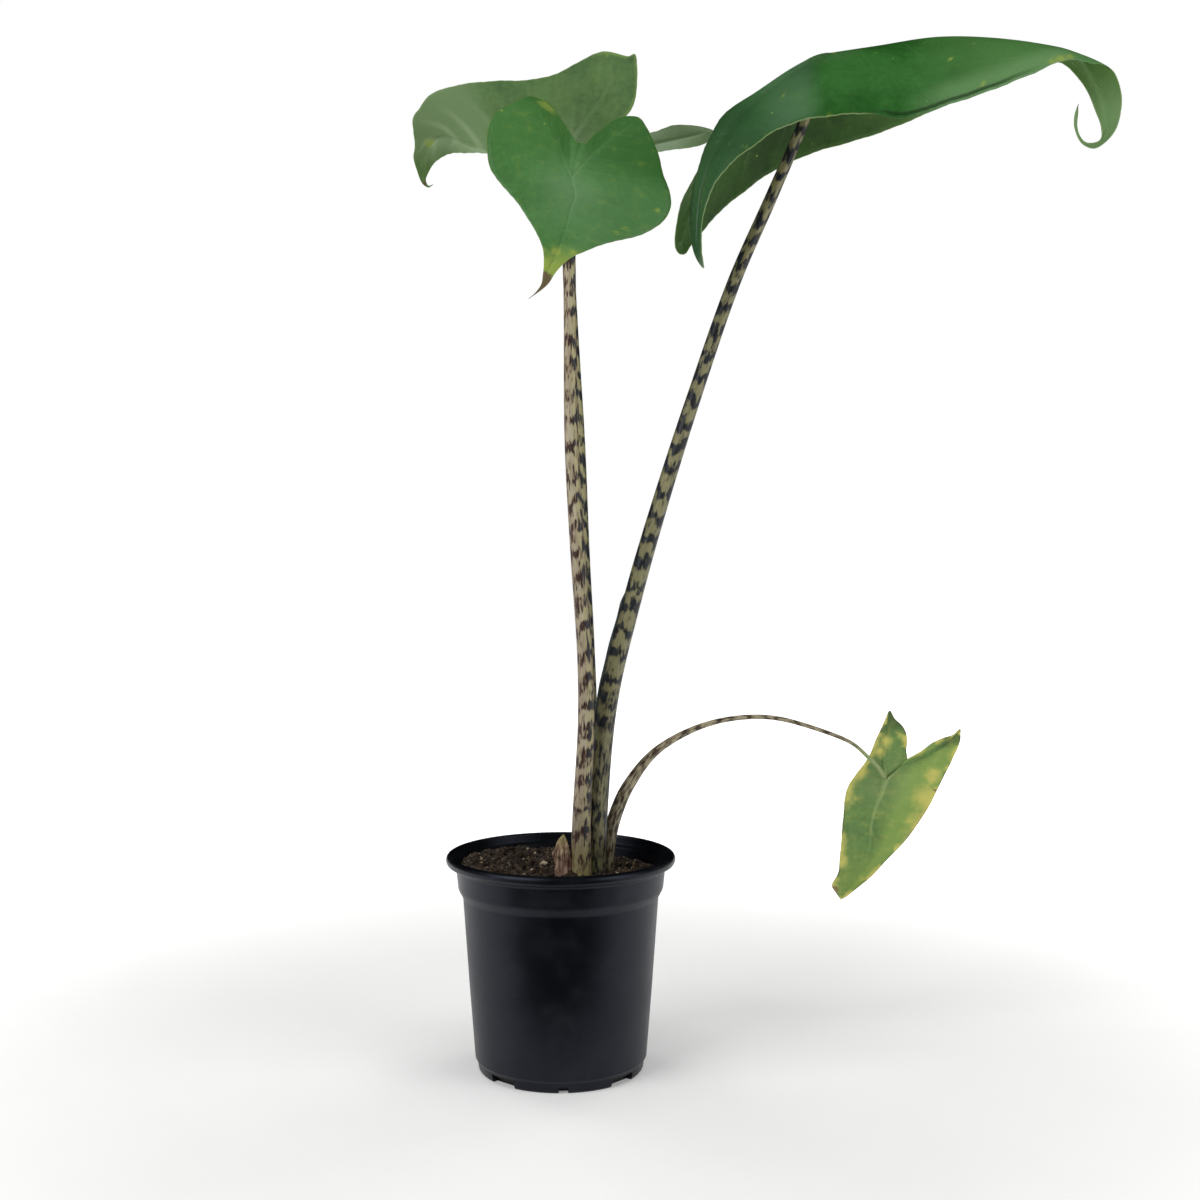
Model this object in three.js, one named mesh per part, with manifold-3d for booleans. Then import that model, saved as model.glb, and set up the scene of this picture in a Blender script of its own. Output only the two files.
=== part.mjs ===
// Potted zebrina alocasia: four arrow-shaped leaves on banded stalks, rising from a corm in a soil-filled
// nursery pot. Millimetres, +Z up, the origin on the pot's axis where it stands, +X towards the largest leaf.
import * as THREE from 'three';
import * as BufferGeometryUtils from 'three/addons/utils/BufferGeometryUtils.js';
import Module from 'manifold-3d';

const wasm = await Module();
wasm.setup();

// Driving dimensions
const CLEARANCE = 0.3; // air between two pieces that touch
const FINEST = 0.04; // shorter edges and lower slivers are taken out of a cut piece

// The pot: a thin-walled standard nursery pot, 152 mm across its rim and 144 mm high
const POT_SIDES = 40;
const POT_WALL = 1.2;
const RIM_RADIUS = 76.5;
const RIM_TOP = 144.2;
const COLLAR_RADIUS = 69.9;
const LEDGE_HEIGHT = 121;
const FOOT_RADIUS = 54.8;
const FLOOR_RAISE = 2; // the floor between the foot ring and the centre pad stands this much off the ground
const FLOOR_TOP = 3.4;
const PAD_RADIUS = 18;
const NOTCH_DEPTH = 14; // the length of the block that cuts a notch
const NOTCH_TURN = 3; // degrees, how far the drain notches are turned from the pot's axes
const WIDE_NOTCH = { width: 20, height: 5.5, count: 4, first: 45 };
const SMALL_NOTCH = { width: 6, height: 4, count: 4, first: 0 };

// The soil: its general level, its rise towards the rear left wall and the size of its crumbs
const SOIL_LEVEL = 130;
const SOIL_RISE = 8;
const SOIL_CRUMB = 2.2;
const SOIL_SIDES = POT_SIDES;

// The corm: the swollen base that the stalks grow from
const CORM = { centre: [19, 3, 90], radii: [19, 15, 21] };

// The blades
const BLADE_HALF = 0.4; // half the blade's thickness
const ROWS_BETWEEN = 2; // rows of facets from one side rib to the next
const QUILT = 0.45; // how far the blade swells between its side ribs
const ACROSS = [0.38, 0.7, 1]; // where a row's points lie between the midrib's ridge and the margin

// The stalks
const STALK_SIDES = 10;

// The leaves. The midrib runs from over the stalk to the tip. A station is the share of the midrib or lobe
// rib where a side rib leaves it, with the margin points that its side ribs reach: left and right of the
// midrib, and outside and inside of a lobe rib. The left side comes first, seen from above towards the tip.
const largeLeaf = {
  ridge: 2.4,
  crown: [0.05, 0.09],
  midrib: [
    [178, 6, 674.5], [208, 8, 679.5], [249.5, 8, 685.5], [288.5, 6, 684], [315.5, 4, 679.5],
    [332, 2, 674.5], [343, 1, 667.5], [351.5, 2, 653], [356, 1, 638.5], [358, 0, 626.5],
    [355, -2, 616], [349, -4, 611.5], [341.5, -6, 614], [337, -8, 621.5], [336, -9, 630],
    [337, -10, 637],
  ],
  sinus: [167.5, 6, 671.5],
  stations: [
    [0.97, [337.5, -9, 632], [335, -10, 630.5]],
    [0.935, [337.5, -8, 621.5], [335, -9.5, 622.5]],
    [0.905, [342, -7, 614], [340, -8, 612.5]],
    [0.88, [349, -4, 613.5], [348.5, -7, 609]],
    [0.85, [354.5, -2, 616.5], [356, -6, 613]],
    [0.81, [355, 0, 625.5], [363.5, -5, 622]],
    [0.765, [352.5, 3, 635], [367, -4, 634.5]],
    [0.72, [348, 6, 648.5], [367, -4, 645.5]],
    [0.67, [343, 9, 658], [362, -6, 657.5]],
    [0.63, [336, 13, 667.5], [354.5, -9, 662]],
    [0.59, [330, 19, 672], [343, -13, 662.5]],
    [0.55, [315.5, 27, 669], [327, -18, 663]],
    [0.46, [296, 35, 662], [305, -24, 653]],
    [0.36, [272, 43, 654], [275, -30, 640]],
    [0.26, [246, 50, 644], [245, -35, 629]],
    [0.17, [223, 55, 635.5], [219, -39, 620.5]],
    [0.08, [201, 58, 629], [195, -42, 622.5]],
    [0, [179, 61, 623.5], [174, -45, 620.5]],
  ],
  lobes: [
    {
      rib: [
        [159, 14, 665], [134, 27, 648.5], [113.5, 39, 626], [97, 48, 599], [86.5, 52, 575.5],
        [82, 53, 560],
      ],
      stations: [
        [0.12, [163, 64, 618], [148, 9, 657.5]],
        [0.28, [143.5, 67, 608.5], [132.5, 14, 648]],
        [0.44, [125.5, 69, 595.5], [118, 19, 635.5]],
        [0.6, [109.5, 70, 582.5], [104, 25, 620]],
        [0.76, [99, 69.5, 570], [92, 33, 602.5]],
        [0.9, [92, 67, 561.5], [81.5, 42, 583]],
      ],
      end: [[88.5, 64, 556.5], [86, 61, 552.5], [81.5, 57, 551.5], [78, 51, 556]],
    },
    {
      rib: [
        [157.5, 0, 663.5], [128, -11, 639], [111.5, -20, 620.5], [98, -28, 597],
        [90.5, -34, 573.5], [87.5, -38, 540],
      ],
      stations: [
        [0.12, [155.5, -47, 617.5], [145, 3, 658]],
        [0.28, [137, -49, 610.5], [126.5, 0, 645.5]],
        [0.44, [121, -50, 599.5], [109, -4, 633.5]],
        [0.6, [105.5, -51, 586.5], [98, -9, 616.5]],
        [0.76, [95, -50, 570], [89.5, -15, 593.5]],
        [0.9, [90.5, -48, 552], [84, -24, 566]],
      ],
      end: [[90.5, -45, 536.5], [92, -41, 526], [88, -36, 532], [85, -32, 542]],
    },
  ],
};

const frontLeaf = {
  ridge: 1.4,
  crown: [0.04, 0.04],
  midrib: [
    [8.5, -45, 581.5], [11, -52, 569], [9, -57, 562], [5, -67, 545], [0, -76, 530], [-5, -81, 519],
    [-7, -83, 511], [-11, -84, 505.5], [-17.5, -84, 500.5],
  ],
  sinus: [12, -30, 605],
  stations: [
    [0.92, [-12, -84, 504], [-12.5, -84, 505]],
    [0.85, [-7.5, -83.5, 508], [-9.5, -83.5, 509.5]],
    [0.78, [-4, -81, 516.5], [-8.5, -83, 515.5]],
    [0.68, [4, -77, 525.5], [-8, -81, 523.5]],
    [0.56, [16, -72, 532], [-9, -77, 533]],
    [0.43, [30.5, -65, 537.5], [-14, -71, 544.5]],
    [0.3, [46, -58, 542], [-21.5, -64, 557.5]],
    [0.18, [59.5, -52, 548.5], [-30, -57, 569.5]],
    [0.08, [67, -47, 555.5], [-38, -52, 579]],
    [0, [71, -43, 564.5], [-43, -48, 588]],
  ],
  lobes: [
    {
      rib: [
        [16.5, -41, 592], [27, -37, 603], [37.5, -33, 612], [46, -29, 618.5],
      ],
      stations: [
        [0.2, [70, -41, 575], [17.5, -28, 607.5]],
        [0.45, [66, -38, 586.5], [21.5, -26, 612]],
        [0.7, [63.5, -35, 598.5], [28.5, -24, 618.5]],
        [0.9, [59.5, -32, 609.5], [35.5, -23, 623.5]],
      ],
      end: [[55.5, -29, 618], [51.5, -26, 624], [44, -24, 625.5]],
    },
    {
      rib: [
        [3, -41, 594], [-1.5, -36, 609], [-10, -30, 626.5],
      ],
      stations: [
        [0.2, [-45, -44, 600.5], [7, -21, 615]],
        [0.45, [-44.5, -40, 613.5], [3, -16, 623]],
        [0.7, [-41, -37, 623], [-1.5, -13, 630.5]],
        [0.9, [-35.5, -34, 628.5], [-7, -14, 636]],
      ],
      end: [[-28.5, -30, 632.5], [-20.5, -22, 638.5], [-14, -17, 639]],
    },
  ],
};

const rearLeaf = {
  ridge: 2,
  crown: [0.05, 0.05],
  midrib: [
    [3, 48, 622.5], [-22, 51, 621.5], [-52, 53, 622.5], [-68.5, 53, 627.5], [-80, 51, 630.5],
    [-88, 48, 627], [-92.5, 45, 619.5], [-94.5, 43, 609], [-94, 42, 598.5], [-91, 42, 594.5],
    [-87.5, 42, 596.5],
  ],
  sinus: [11, 50, 623.5],
  stations: [
    [0.97, [-91, 42, 594], [-91, 42, 595.5]],
    [0.93, [-95, 41, 596.5], [-93, 43, 599]],
    [0.86, [-98.5, 38, 605], [-91.5, 48, 606]],
    [0.8, [-100.5, 37, 613], [-88.5, 54, 613]],
    [0.75, [-99.5, 36, 621], [-85, 59, 617.5]],
    [0.71, [-100.5, 36, 630], [-81, 65, 621.5]],
    [0.67, [-100.5, 35, 639.5], [-77.5, 70, 623.5]],
    [0.62, [-96.5, 34, 645], [-73, 76, 625.5]],
    [0.56, [-90.5, 32, 652.5], [-66.5, 82, 627]],
    [0.48, [-81.5, 29, 656.5], [-55.5, 89, 628]],
    [0.38, [-64, 25, 659.5], [-42.5, 95, 629]],
    [0.27, [-43.5, 20, 660], [-26.5, 101, 630]],
    [0.16, [-26.5, 17, 659.5], [-10, 105, 631]],
    [0.07, [-11.5, 14, 660.5], [5, 107, 631.5]],
    [0, [-0.5, 12, 663.5], [19, 108, 632]],
  ],
  lobes: [
    {
      rib: [
        [12.5, 41, 634], [24, 32, 647.5], [33.5, 25, 659.5], [40, 20, 668],
      ],
      stations: [
        [0.2, [11.5, 11, 669.5], [22, 46, 628.5]],
        [0.45, [22, 11, 675], [33.5, 41, 634.5]],
        [0.7, [30, 12, 677], [44.5, 36, 641.5]],
        [0.9, [37.5, 13, 676], [49, 31, 647.5]],
      ],
      end: [[45, 14, 674.5], [49.5, 16, 676.5], [51, 19, 669.5], [51, 25, 658]],
    },
    {
      rib: [
        [26, 60, 624.5], [50.5, 71, 628.5], [72, 77, 634], [89.5, 79, 638], [99.5, 79, 640.5],
      ],
      stations: [
        [0.2, [35.5, 108, 632.5], [26, 53, 626]],
        [0.45, [55, 106, 632.5], [45, 56, 630]],
        [0.7, [73, 102, 633], [63, 60, 636]],
        [0.9, [89, 95, 633.5], [79, 65, 642]],
      ],
      end: [[101.5, 88, 635], [107.5, 80, 640.5], [96.5, 71, 642.5]],
    },
  ],
};

const hangingLeaf = {
  ridge: 1.3,
  crown: [0.04, 0.04],
  midrib: [
    [230, 72, 181.5], [227.5, 73, 172], [223.5, 74, 162], [220, 74, 147.5], [219, 73, 135],
    [216, 71, 126], [210, 68, 116.5], [203, 64, 107.5], [197, 60, 98.5],
  ],
  sinus: [246, 74, 196.5],
  stations: [
    [0.97, [193.5, 59.5, 103.5], [201, 60, 101]],
    [0.9, [190.5, 59.5, 108.5], [209, 61, 107]],
    [0.8, [195.5, 63, 117.5], [219.5, 63.5, 115]],
    [0.68, [197, 65.5, 129.5], [231, 66, 126.5]],
    [0.54, [198.5, 67, 145.5], [242.5, 67, 138]],
    [0.4, [199.5, 67.5, 158.5], [252.5, 67, 151.5]],
    [0.26, [200.5, 68, 169], [260.5, 66, 165]],
    [0.12, [203, 69, 178], [266.5, 65, 178]],
    [0, [209, 71, 186.5], [271.5, 64, 189]],
  ],
  lobes: [
    {
      rib: [
        [229, 73, 192.5], [230, 74, 206.5], [231.5, 72, 222],
      ],
      stations: [
        [0.2, [215, 73, 193.5], [245, 74, 202.5]],
        [0.45, [219.5, 74, 201], [245.5, 73.5, 209]],
        [0.7, [223, 74, 210], [244.5, 73, 216]],
        [0.9, [227, 72, 219.5], [241, 72, 221.5]],
      ],
      end: [[229.5, 70, 226.5], [232, 68, 232], [236, 70, 226]],
    },
    {
      rib: [
        [242.5, 73, 192], [257.5, 70, 200], [272, 64, 209.5],
      ],
      stations: [
        [0.2, [274, 63.5, 194], [250, 72, 199.5]],
        [0.45, [276.5, 63, 200], [255.5, 69.5, 203.5]],
        [0.7, [279, 62, 206], [261.5, 66, 209]],
        [0.9, [280.5, 61, 212], [269.5, 62.5, 213.5]],
      ],
      end: [[280.5, 60, 216], [280, 59, 220], [275.5, 60, 216]],
    },
  ],
};

// The stalks: points along each, from inside the corm to the blade, with the stalk's radius there
const frontStalk = {
  rings: 22,
  points: [
    [13.5, -3, 104, 6], [13.5, -5, 129.5, 7.2], [14, -6, 170, 6.2], [17, -10, 232, 5.6],
    [16.2, -13, 278, 5.1], [11.6, -20, 348, 4.9], [8, -28, 415, 4.6], [7.2, -36, 490, 4.1],
    [7, -42, 545, 3.8], [8.5, -45, 581.5, 3.4],
  ],
};

const rearStalk = {
  rings: 22,
  points: [
    [16, 7, 104, 5.5], [15.5, 8.5, 127, 6], [15.5, 10, 168, 5.7], [19, 14, 229, 5.3],
    [17.5, 18, 283, 5], [14.6, 24, 341, 4.8], [11.5, 31, 419, 4.6], [6.5, 39, 504, 4.4],
    [3, 45, 586, 3.8], [3, 47.5, 621, 3.3],
  ],
};

const largeStalk = {
  rings: 24,
  points: [
    [21, 4, 102, 6.5], [22.5, 4, 127, 7.5], [24.5, 4, 176, 7.2], [31.6, 4, 246, 6.7],
    [48.7, 5, 317, 6.1], [67.5, 6, 382, 5.5], [90.2, 6.5, 453, 4.8], [115.7, 7, 526, 4.4],
    [139, 8, 579, 4.1], [161, 8, 630, 3.6], [178, 6, 674, 3.1],
  ],
  wing: { corner: 7, top: 318, bottom: 135, fade: 40, width: 1.5 },
};

const hangingStalk = {
  rings: 28,
  points: [
    [27, 8, 98, 4], [30.5, 10.5, 127, 4.4], [33.5, 13, 156, 4.7], [38.5, 16.5, 172, 4.6],
    [46, 20, 187, 4.3], [65, 30, 208.7, 3.4], [102, 44, 225.7, 2.7], [144, 54, 229, 2.3],
    [186, 60, 217.6, 2.1], [205, 61, 209.2, 1.9], [215, 61, 200.4, 1.8], [223, 64.5, 192.5, 1.9],
    [230, 71, 182, 1.9],
  ],
};

// The dried sheath: the pointed remains of an old stalk at the foot of the front one
const driedSheath = {
  rings: 7,
  points: [
    [3, -6, 112, 4.5], [2, -7, 128, 5.2], [1.6, -7, 138, 5.1], [1, -6.8, 146, 5.2],
    [1.2, -6.4, 152.5, 3.2], [1.9, -6, 157.5, 0.6],
  ],
};

// Points and curves
const point = (xyz) => new THREE.Vector3(...xyz);
const curveThrough = (points) => new THREE.CatmullRomCurve3(points, false, 'centripetal');

// Solids: a closed geometry as a manifold, and a manifold as a geometry
function solidOf(geometry) {
  const bare = geometry.clone();
  bare.deleteAttribute('normal');
  bare.deleteAttribute('uv');
  const merged = BufferGeometryUtils.mergeVertices(bare, 1e-4);
  const vertProperties = new Float32Array(merged.attributes.position.array);
  const triVerts = new Uint32Array(merged.index.array);
  return new wasm.Manifold(new wasm.Mesh({ numProp: 3, vertProperties, triVerts }));
}

function geometryOf(solid) {
  const mesh = solid.getMesh();
  const positions = [];
  for (let i = 0; i < mesh.vertProperties.length; i += 3) {
    positions.push(new THREE.Vector3().fromArray(mesh.vertProperties, i));
  }
  const triangles = [];
  for (let i = 0; i < mesh.triVerts.length; i += 3) triangles.push([...mesh.triVerts.slice(i, i + 3)]);
  const faces = turnedSlivers(positions, collapsedEdges(positions, triangles));
  const geometry = new THREE.BufferGeometry().setFromPoints(positions);
  geometry.setIndex(faces.flat());
  return geometry;
}

// A cut leaves edges too short to build: their two ends become one corner
function collapsedEdges(positions, triangles) {
  const corner = positions.map((_, i) => i);
  const find = (i) => (corner[i] === i ? i : find(corner[i]));
  for (const [a, b, c] of triangles) {
    for (const [from, to] of [[find(a), find(b)], [find(b), find(c)]]) {
      if (positions[from].distanceTo(positions[to]) < FINEST) corner[Math.max(from, to)] = Math.min(from, to);
    }
  }
  const kept = new Map();
  for (const triangle of triangles) {
    const face = triangle.map(find);
    if (new Set(face).size < 3) continue;
    const key = [...face].sort((i, j) => i - j).join();
    if (kept.has(key)) kept.delete(key);
    else kept.set(key, face);
  }
  return [...kept.values()];
}

// It also leaves slivers, with a corner on the opposite edge: that edge is turned to the other diagonal
function turnedSlivers(positions, faces) {
  const edges = new Map();
  const turns = ([a, b, c]) => [[a, b, c], [b, c, a], [c, a, b]];
  const enter = (i) => turns(faces[i]).forEach(([from, to, apex]) => edges.set(`${from},${to}`, [i, apex]));
  const leave = (i) => turns(faces[i]).forEach(([from, to]) => edges.delete(`${from},${to}`));
  faces.forEach((_, i) => enter(i));
  for (let i = 0; i < faces.length; i++) {
    const length = ([from, to]) => positions[from].distanceTo(positions[to]);
    const [from, to, apex] = turns(faces[i]).sort((s, t) => length(t) - length(s))[0];
    const edge = new THREE.Line3(positions[from], positions[to]);
    const foot = edge.closestPointToPoint(positions[apex], true, new THREE.Vector3());
    if (foot.distanceTo(positions[apex]) > FINEST) continue;
    const [other, beyond] = edges.get(`${to},${from}`);
    if (edges.has(`${apex},${beyond}`) || edges.has(`${beyond},${apex}`)) continue;
    leave(i);
    leave(other);
    faces[i] = [from, beyond, apex];
    faces[other] = [beyond, to, apex];
    enter(i);
    enter(other);
  }
  return faces;
}

// The largest body of a cut solid, without the scraps
function largestBody(solid) {
  const bodies = solid.decompose();
  bodies.sort((a, b) => b.volume() - a.volume());
  return bodies[0];
}

// Blades. A blade hangs on a skeleton of three ribs that meet over the stalk: the midrib to the tip, and a
// lobe rib into each of the two rear lobes. A short rear rib runs from there to the notch between the lobes.
// The skeleton's position q runs from -1 at the tip through 0 over the stalk to 1 at the lobe's end, back to
// 2 over the stalk and on to 3 in the notch. Every row of points goes from the skeleton to the margin.
function skeletonOf(leaf, lobe) {
  const joint = point(leaf.midrib[0]);
  const notch = point(leaf.sinus);
  const midrib = curveThrough(leaf.midrib.map(point));
  const rib = curveThrough([joint, ...lobe.rib.map(point)]);
  const place = (q) => {
    if (q < 0) return midrib.getPointAt(-q);
    if (q <= 1) return rib.getPointAt(q);
    if (q <= 2) return rib.getPointAt(2 - q);
    return joint.clone().lerp(notch, q - 2);
  };
  const towardTip = (q) => {
    if (q < 0) return midrib.getTangentAt(-q);
    if (q <= 1) return rib.getTangentAt(q).negate();
    if (q < 2) return rib.getTangentAt(2 - q).negate();
    return joint.clone().sub(notch).normalize();
  };
  return { place, towardTip };
}

// The margin of one half: [position on the skeleton, margin point] from the tip round the lobe to the notch
function marginOf(leaf, side) {
  const lobe = leaf.lobes[side];
  const stations = [[-1, point(leaf.midrib.at(-1))]];
  for (const [k, ...edges] of leaf.stations) stations.push([-k, point(edges[side])]);
  for (const [k, outer] of lobe.stations) stations.push([k, point(outer)]);
  for (const end of lobe.end) stations.push([1, point(end)]);
  for (const [k, , inner] of [...lobe.stations].reverse()) stations.push([2 - k, point(inner)]);
  const notch = point(leaf.sinus);
  stations.push([2, stations.at(-1)[1].clone().lerp(notch, 0.55)]);
  stations.push([3, notch]);
  return stations;
}

// The directions in which the blade's upper side faces along the rows
function upwardDirections(stations, skeleton, side) {
  const ups = stations.map(([q, edge]) => {
    const out = edge.clone().sub(skeleton.place(q)).normalize();
    const up = skeleton.towardTip(q).cross(out);
    const inner = q > 1 && q < 2;
    return up.multiplyScalar(inner === (side === 0) ? -1 : 1);
  });
  return ups.map((up, i) => {
    const near = ups.slice(Math.max(i - 2, 0), i + 3);
    return near.reduce((sum, each) => sum.add(each), new THREE.Vector3()).normalize();
  });
}

function bladeRows(leaf, side) {
  const skeleton = skeletonOf(leaf, leaf.lobes[side]);
  const stations = marginOf(leaf, side);
  const ups = upwardDirections(stations, skeleton, side);
  const margin = curveThrough(stations.map(([, edge]) => edge));
  const rows = [];
  const last = stations.length - 1;
  for (let i = 0; i <= last * ROWS_BETWEEN; i++) {
    const at = i / ROWS_BETWEEN;
    const from = Math.min(Math.floor(at), last - 1);
    const part = at - from;
    const q = THREE.MathUtils.lerp(stations[from][0], stations[from + 1][0], part);
    const root = skeleton.place(q);
    const edge = i === last * ROWS_BETWEEN ? root.clone() : margin.getPoint(at / last);
    if (i === 0) edge.copy(root);
    const up = ups[from].clone().lerp(ups[from + 1], part).normalize();
    const length = edge.distanceTo(root);
    const ridgeWidth = Math.min(0.2, leaf.ridge / Math.max(length, 1));
    const onVein = i % ROWS_BETWEEN === 0;
    const quilt = (onVein ? -QUILT : QUILT) * Math.min(1, length / 30);
    const row = [0, ridgeWidth, ...ACROSS].map((t) => {
      const rise = leaf.crown[side] * length * 4 * t * (1 - t) + quilt * Math.sin(Math.PI * t);
      return root.clone().lerp(edge, t).addScaledVector(up, rise);
    });
    rows.push({ q, points: row });
  }
  return rows;
}

// How far the ribs stand out of the blade's underside
function ridgeHeight(leaf, q) {
  if (q < 0) return leaf.ridge * (1 + 0.9 * q);
  if (q <= 1) return leaf.ridge * (1 - 0.85 * q);
  if (q <= 2) return leaf.ridge * (1 - 0.85 * (2 - q));
  return leaf.ridge * (3 - q);
}

// The blade's middle surface: points, their ridge heights, and triangles that face its upper side
function bladeSheet(leaf) {
  const points = [];
  const ridges = [];
  const triangles = [];
  const known = new Map();
  const vertex = (p, ridge) => {
    const key = [p.x, p.y, p.z].map((c) => Math.round(c * 1000)).join();
    if (!known.has(key)) {
      known.set(key, points.length);
      points.push(p);
      ridges.push(ridge);
    }
    return known.get(key);
  };
  const face = (a, b, c) => {
    if (a !== b && b !== c && c !== a) triangles.push([a, b, c]);
  };
  for (const side of [0, 1]) {
    const rows = bladeRows(leaf, side).map(({ q, points: row }) =>
      row.map((p, j) => vertex(p, j === 0 ? ridgeHeight(leaf, q) : 0)));
    for (let i = 0; i + 1 < rows.length; i++) {
      for (let j = 0; j + 1 < rows[i].length; j++) {
        const [a, b] = [rows[i][j], rows[i][j + 1]];
        const [c, d] = [rows[i + 1][j], rows[i + 1][j + 1]];
        if (side === 0) {
          face(a, b, d);
          face(a, d, c);
        } else {
          face(a, d, b);
          face(a, c, d);
        }
      }
    }
  }
  return { points, ridges, triangles };
}

function sheetNormals({ points, triangles }) {
  const normals = points.map(() => new THREE.Vector3());
  for (const [a, b, c] of triangles) {
    const across = points[b].clone().sub(points[a]).cross(points[c].clone().sub(points[a]));
    for (const i of [a, b, c]) normals[i].add(across);
  }
  return normals.map((n) => n.normalize());
}

// A blade of even thickness, its two faces split alike, with the ribs raised from its underside
function bladeGeometry(leaf, extra = 0) {
  const sheet = bladeSheet(leaf);
  const normals = sheetNormals(sheet);
  const count = sheet.points.length;
  const position = [];
  const half = BLADE_HALF + extra;
  sheet.points.forEach((p, i) => position.push(...p.clone().addScaledVector(normals[i], half)));
  sheet.points.forEach((p, i) => {
    position.push(...p.clone().addScaledVector(normals[i], -half - sheet.ridges[i]));
  });
  const index = [];
  const open = new Map();
  for (const [a, b, c] of sheet.triangles) {
    index.push(a, b, c);
    index.push(a + count, c + count, b + count);
    for (const [from, to] of [[a, b], [b, c], [c, a]]) {
      if (open.has(`${to},${from}`)) open.delete(`${to},${from}`);
      else open.set(`${from},${to}`, [from, to]);
    }
  }
  for (const [from, to] of open.values()) {
    index.push(to, from, from + count);
    index.push(to, from + count, to + count);
  }
  const geometry = new THREE.BufferGeometry();
  geometry.setAttribute('position', new THREE.Float32BufferAttribute(position, 3));
  geometry.setIndex(index);
  return geometry;
}

// Stalks: a closed tube through [x, y, z, radius] points. A sheath wing may stand out of one side of it.
function stalkGeometry(stalk, extra = 0) {
  const path = curveThrough(stalk.points.map(([x, y, z]) => new THREE.Vector3(x, y, z)));
  const last = stalk.points.length - 1;
  const position = [];
  const index = [];
  for (let i = 0; i <= stalk.rings; i++) {
    const at = i / stalk.rings;
    const from = Math.min(Math.floor(at * last), last - 1);
    const part = at * last - from;
    const radius = THREE.MathUtils.lerp(stalk.points[from][3], stalk.points[from + 1][3], part) + extra;
    const centre = path.getPoint(at);
    const along = path.getTangent(at);
    const back = new THREE.Vector3(0, 1, 0);
    back.addScaledVector(along, -back.dot(along)).normalize();
    const aside = back.clone().cross(along);
    for (let j = 0; j < STALK_SIDES; j++) {
      const angle = (j / STALK_SIDES) * 2 * Math.PI;
      const reach = radius + sheathWing(stalk, centre.z, j);
      const out = back.clone().multiplyScalar(Math.cos(angle)).addScaledVector(aside, Math.sin(angle));
      position.push(...centre.clone().addScaledVector(out, reach));
    }
  }
  const ring = (i, j) => i * STALK_SIDES + (j % STALK_SIDES);
  for (let i = 0; i < stalk.rings; i++) {
    for (let j = 0; j < STALK_SIDES; j++) {
      index.push(ring(i, j), ring(i + 1, j), ring(i + 1, j + 1));
      index.push(ring(i, j), ring(i + 1, j + 1), ring(i, j + 1));
    }
  }
  for (let j = 1; j + 1 < STALK_SIDES; j++) {
    index.push(ring(0, 0), ring(0, j), ring(0, j + 1));
    index.push(ring(stalk.rings, 0), ring(stalk.rings, j + 1), ring(stalk.rings, j));
  }
  const geometry = new THREE.BufferGeometry();
  geometry.setAttribute('position', new THREE.Float32BufferAttribute(position, 3));
  geometry.setIndex(index);
  return geometry;
}

function sheathWing(stalk, height, corner) {
  const wing = stalk.wing;
  if (!wing || corner !== wing.corner || height > wing.top || height < wing.bottom) return 0;
  return wing.width * Math.min(1, (height - wing.bottom) / wing.fade);
}

// The pot: a profile of [radius, height] points, up its outside and down its inside, turned about its axis
function potGeometry() {
  const inside = (radius) => radius - POT_WALL;
  const profile = [
    [0, 0], [PAD_RADIUS, 0], [PAD_RADIUS + 1.5, FLOOR_RAISE], [47, FLOOR_RAISE], [49.5, 0],
    [FOOT_RADIUS - 0.4, 0], [FOOT_RADIUS + 0.5, 1.2], [56.1, 6.8], [57.5, 8.2], [61.2, 56],
    [65.4, LEDGE_HEIGHT - 5], [68.1, LEDGE_HEIGHT], [68.6, LEDGE_HEIGHT + 1.5], [COLLAR_RADIUS, 135.2],
    [71.4, 136.8], [75.4, 138], [RIM_RADIUS, 139.6], [RIM_RADIUS + 0.2, 141.6], [75.9, 143.4],
    [74.5, RIM_TOP], [73, RIM_TOP], [72, 143], [71.2, 138.4], [inside(COLLAR_RADIUS), 135],
    [inside(68.6), LEDGE_HEIGHT + 1], [inside(65.4), LEDGE_HEIGHT - 4.6], [inside(61.2), 56],
    [inside(57.5), 8.6], [54, FLOOR_TOP], [PAD_RADIUS + 2, FLOOR_TOP],
    [PAD_RADIUS, FLOOR_TOP - FLOOR_RAISE], [0, FLOOR_TOP - FLOOR_RAISE],
  ];
  const turned = new THREE.LatheGeometry(profile.map(([r, z]) => new THREE.Vector2(r, z)), POT_SIDES);
  turned.rotateX(Math.PI / 2);
  let solid = solidOf(turned);
  for (const notch of [WIDE_NOTCH, SMALL_NOTCH]) {
    for (let i = 0; i < notch.count; i++) {
      const angle = THREE.MathUtils.degToRad(NOTCH_TURN + notch.first + (i * 360) / notch.count);
      const block = new THREE.BoxGeometry(NOTCH_DEPTH, notch.width, 2 * notch.height);
      block.translate(FOOT_RADIUS - 5 + NOTCH_DEPTH / 2, 0, 0);
      block.rotateZ(angle);
      solid = solid.subtract(solidOf(block));
    }
  }
  return geometryOf(solid);
}

// The soil, up to a height that varies: it climbs at the rear left wall and is crumbly all over
function crumb(x, y) {
  const a = Math.sin(x * 0.31 + 1.3) * Math.cos(y * 0.27 - 0.4);
  const b = Math.sin(x * 0.83 - y * 0.61 + 2.1) * Math.cos(y * 0.94 + x * 0.2);
  return SOIL_CRUMB * (0.6 * a + 0.4 * b);
}

function soilHeight(x, y, wallRadius) {
  const reach = Math.hypot(x, y) / wallRadius;
  const towardRearLeft = Math.max(0, (-x * 0.9 + y * 0.44) / wallRadius);
  return SOIL_LEVEL + SOIL_RISE * towardRearLeft * reach + crumb(x, y);
}

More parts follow.
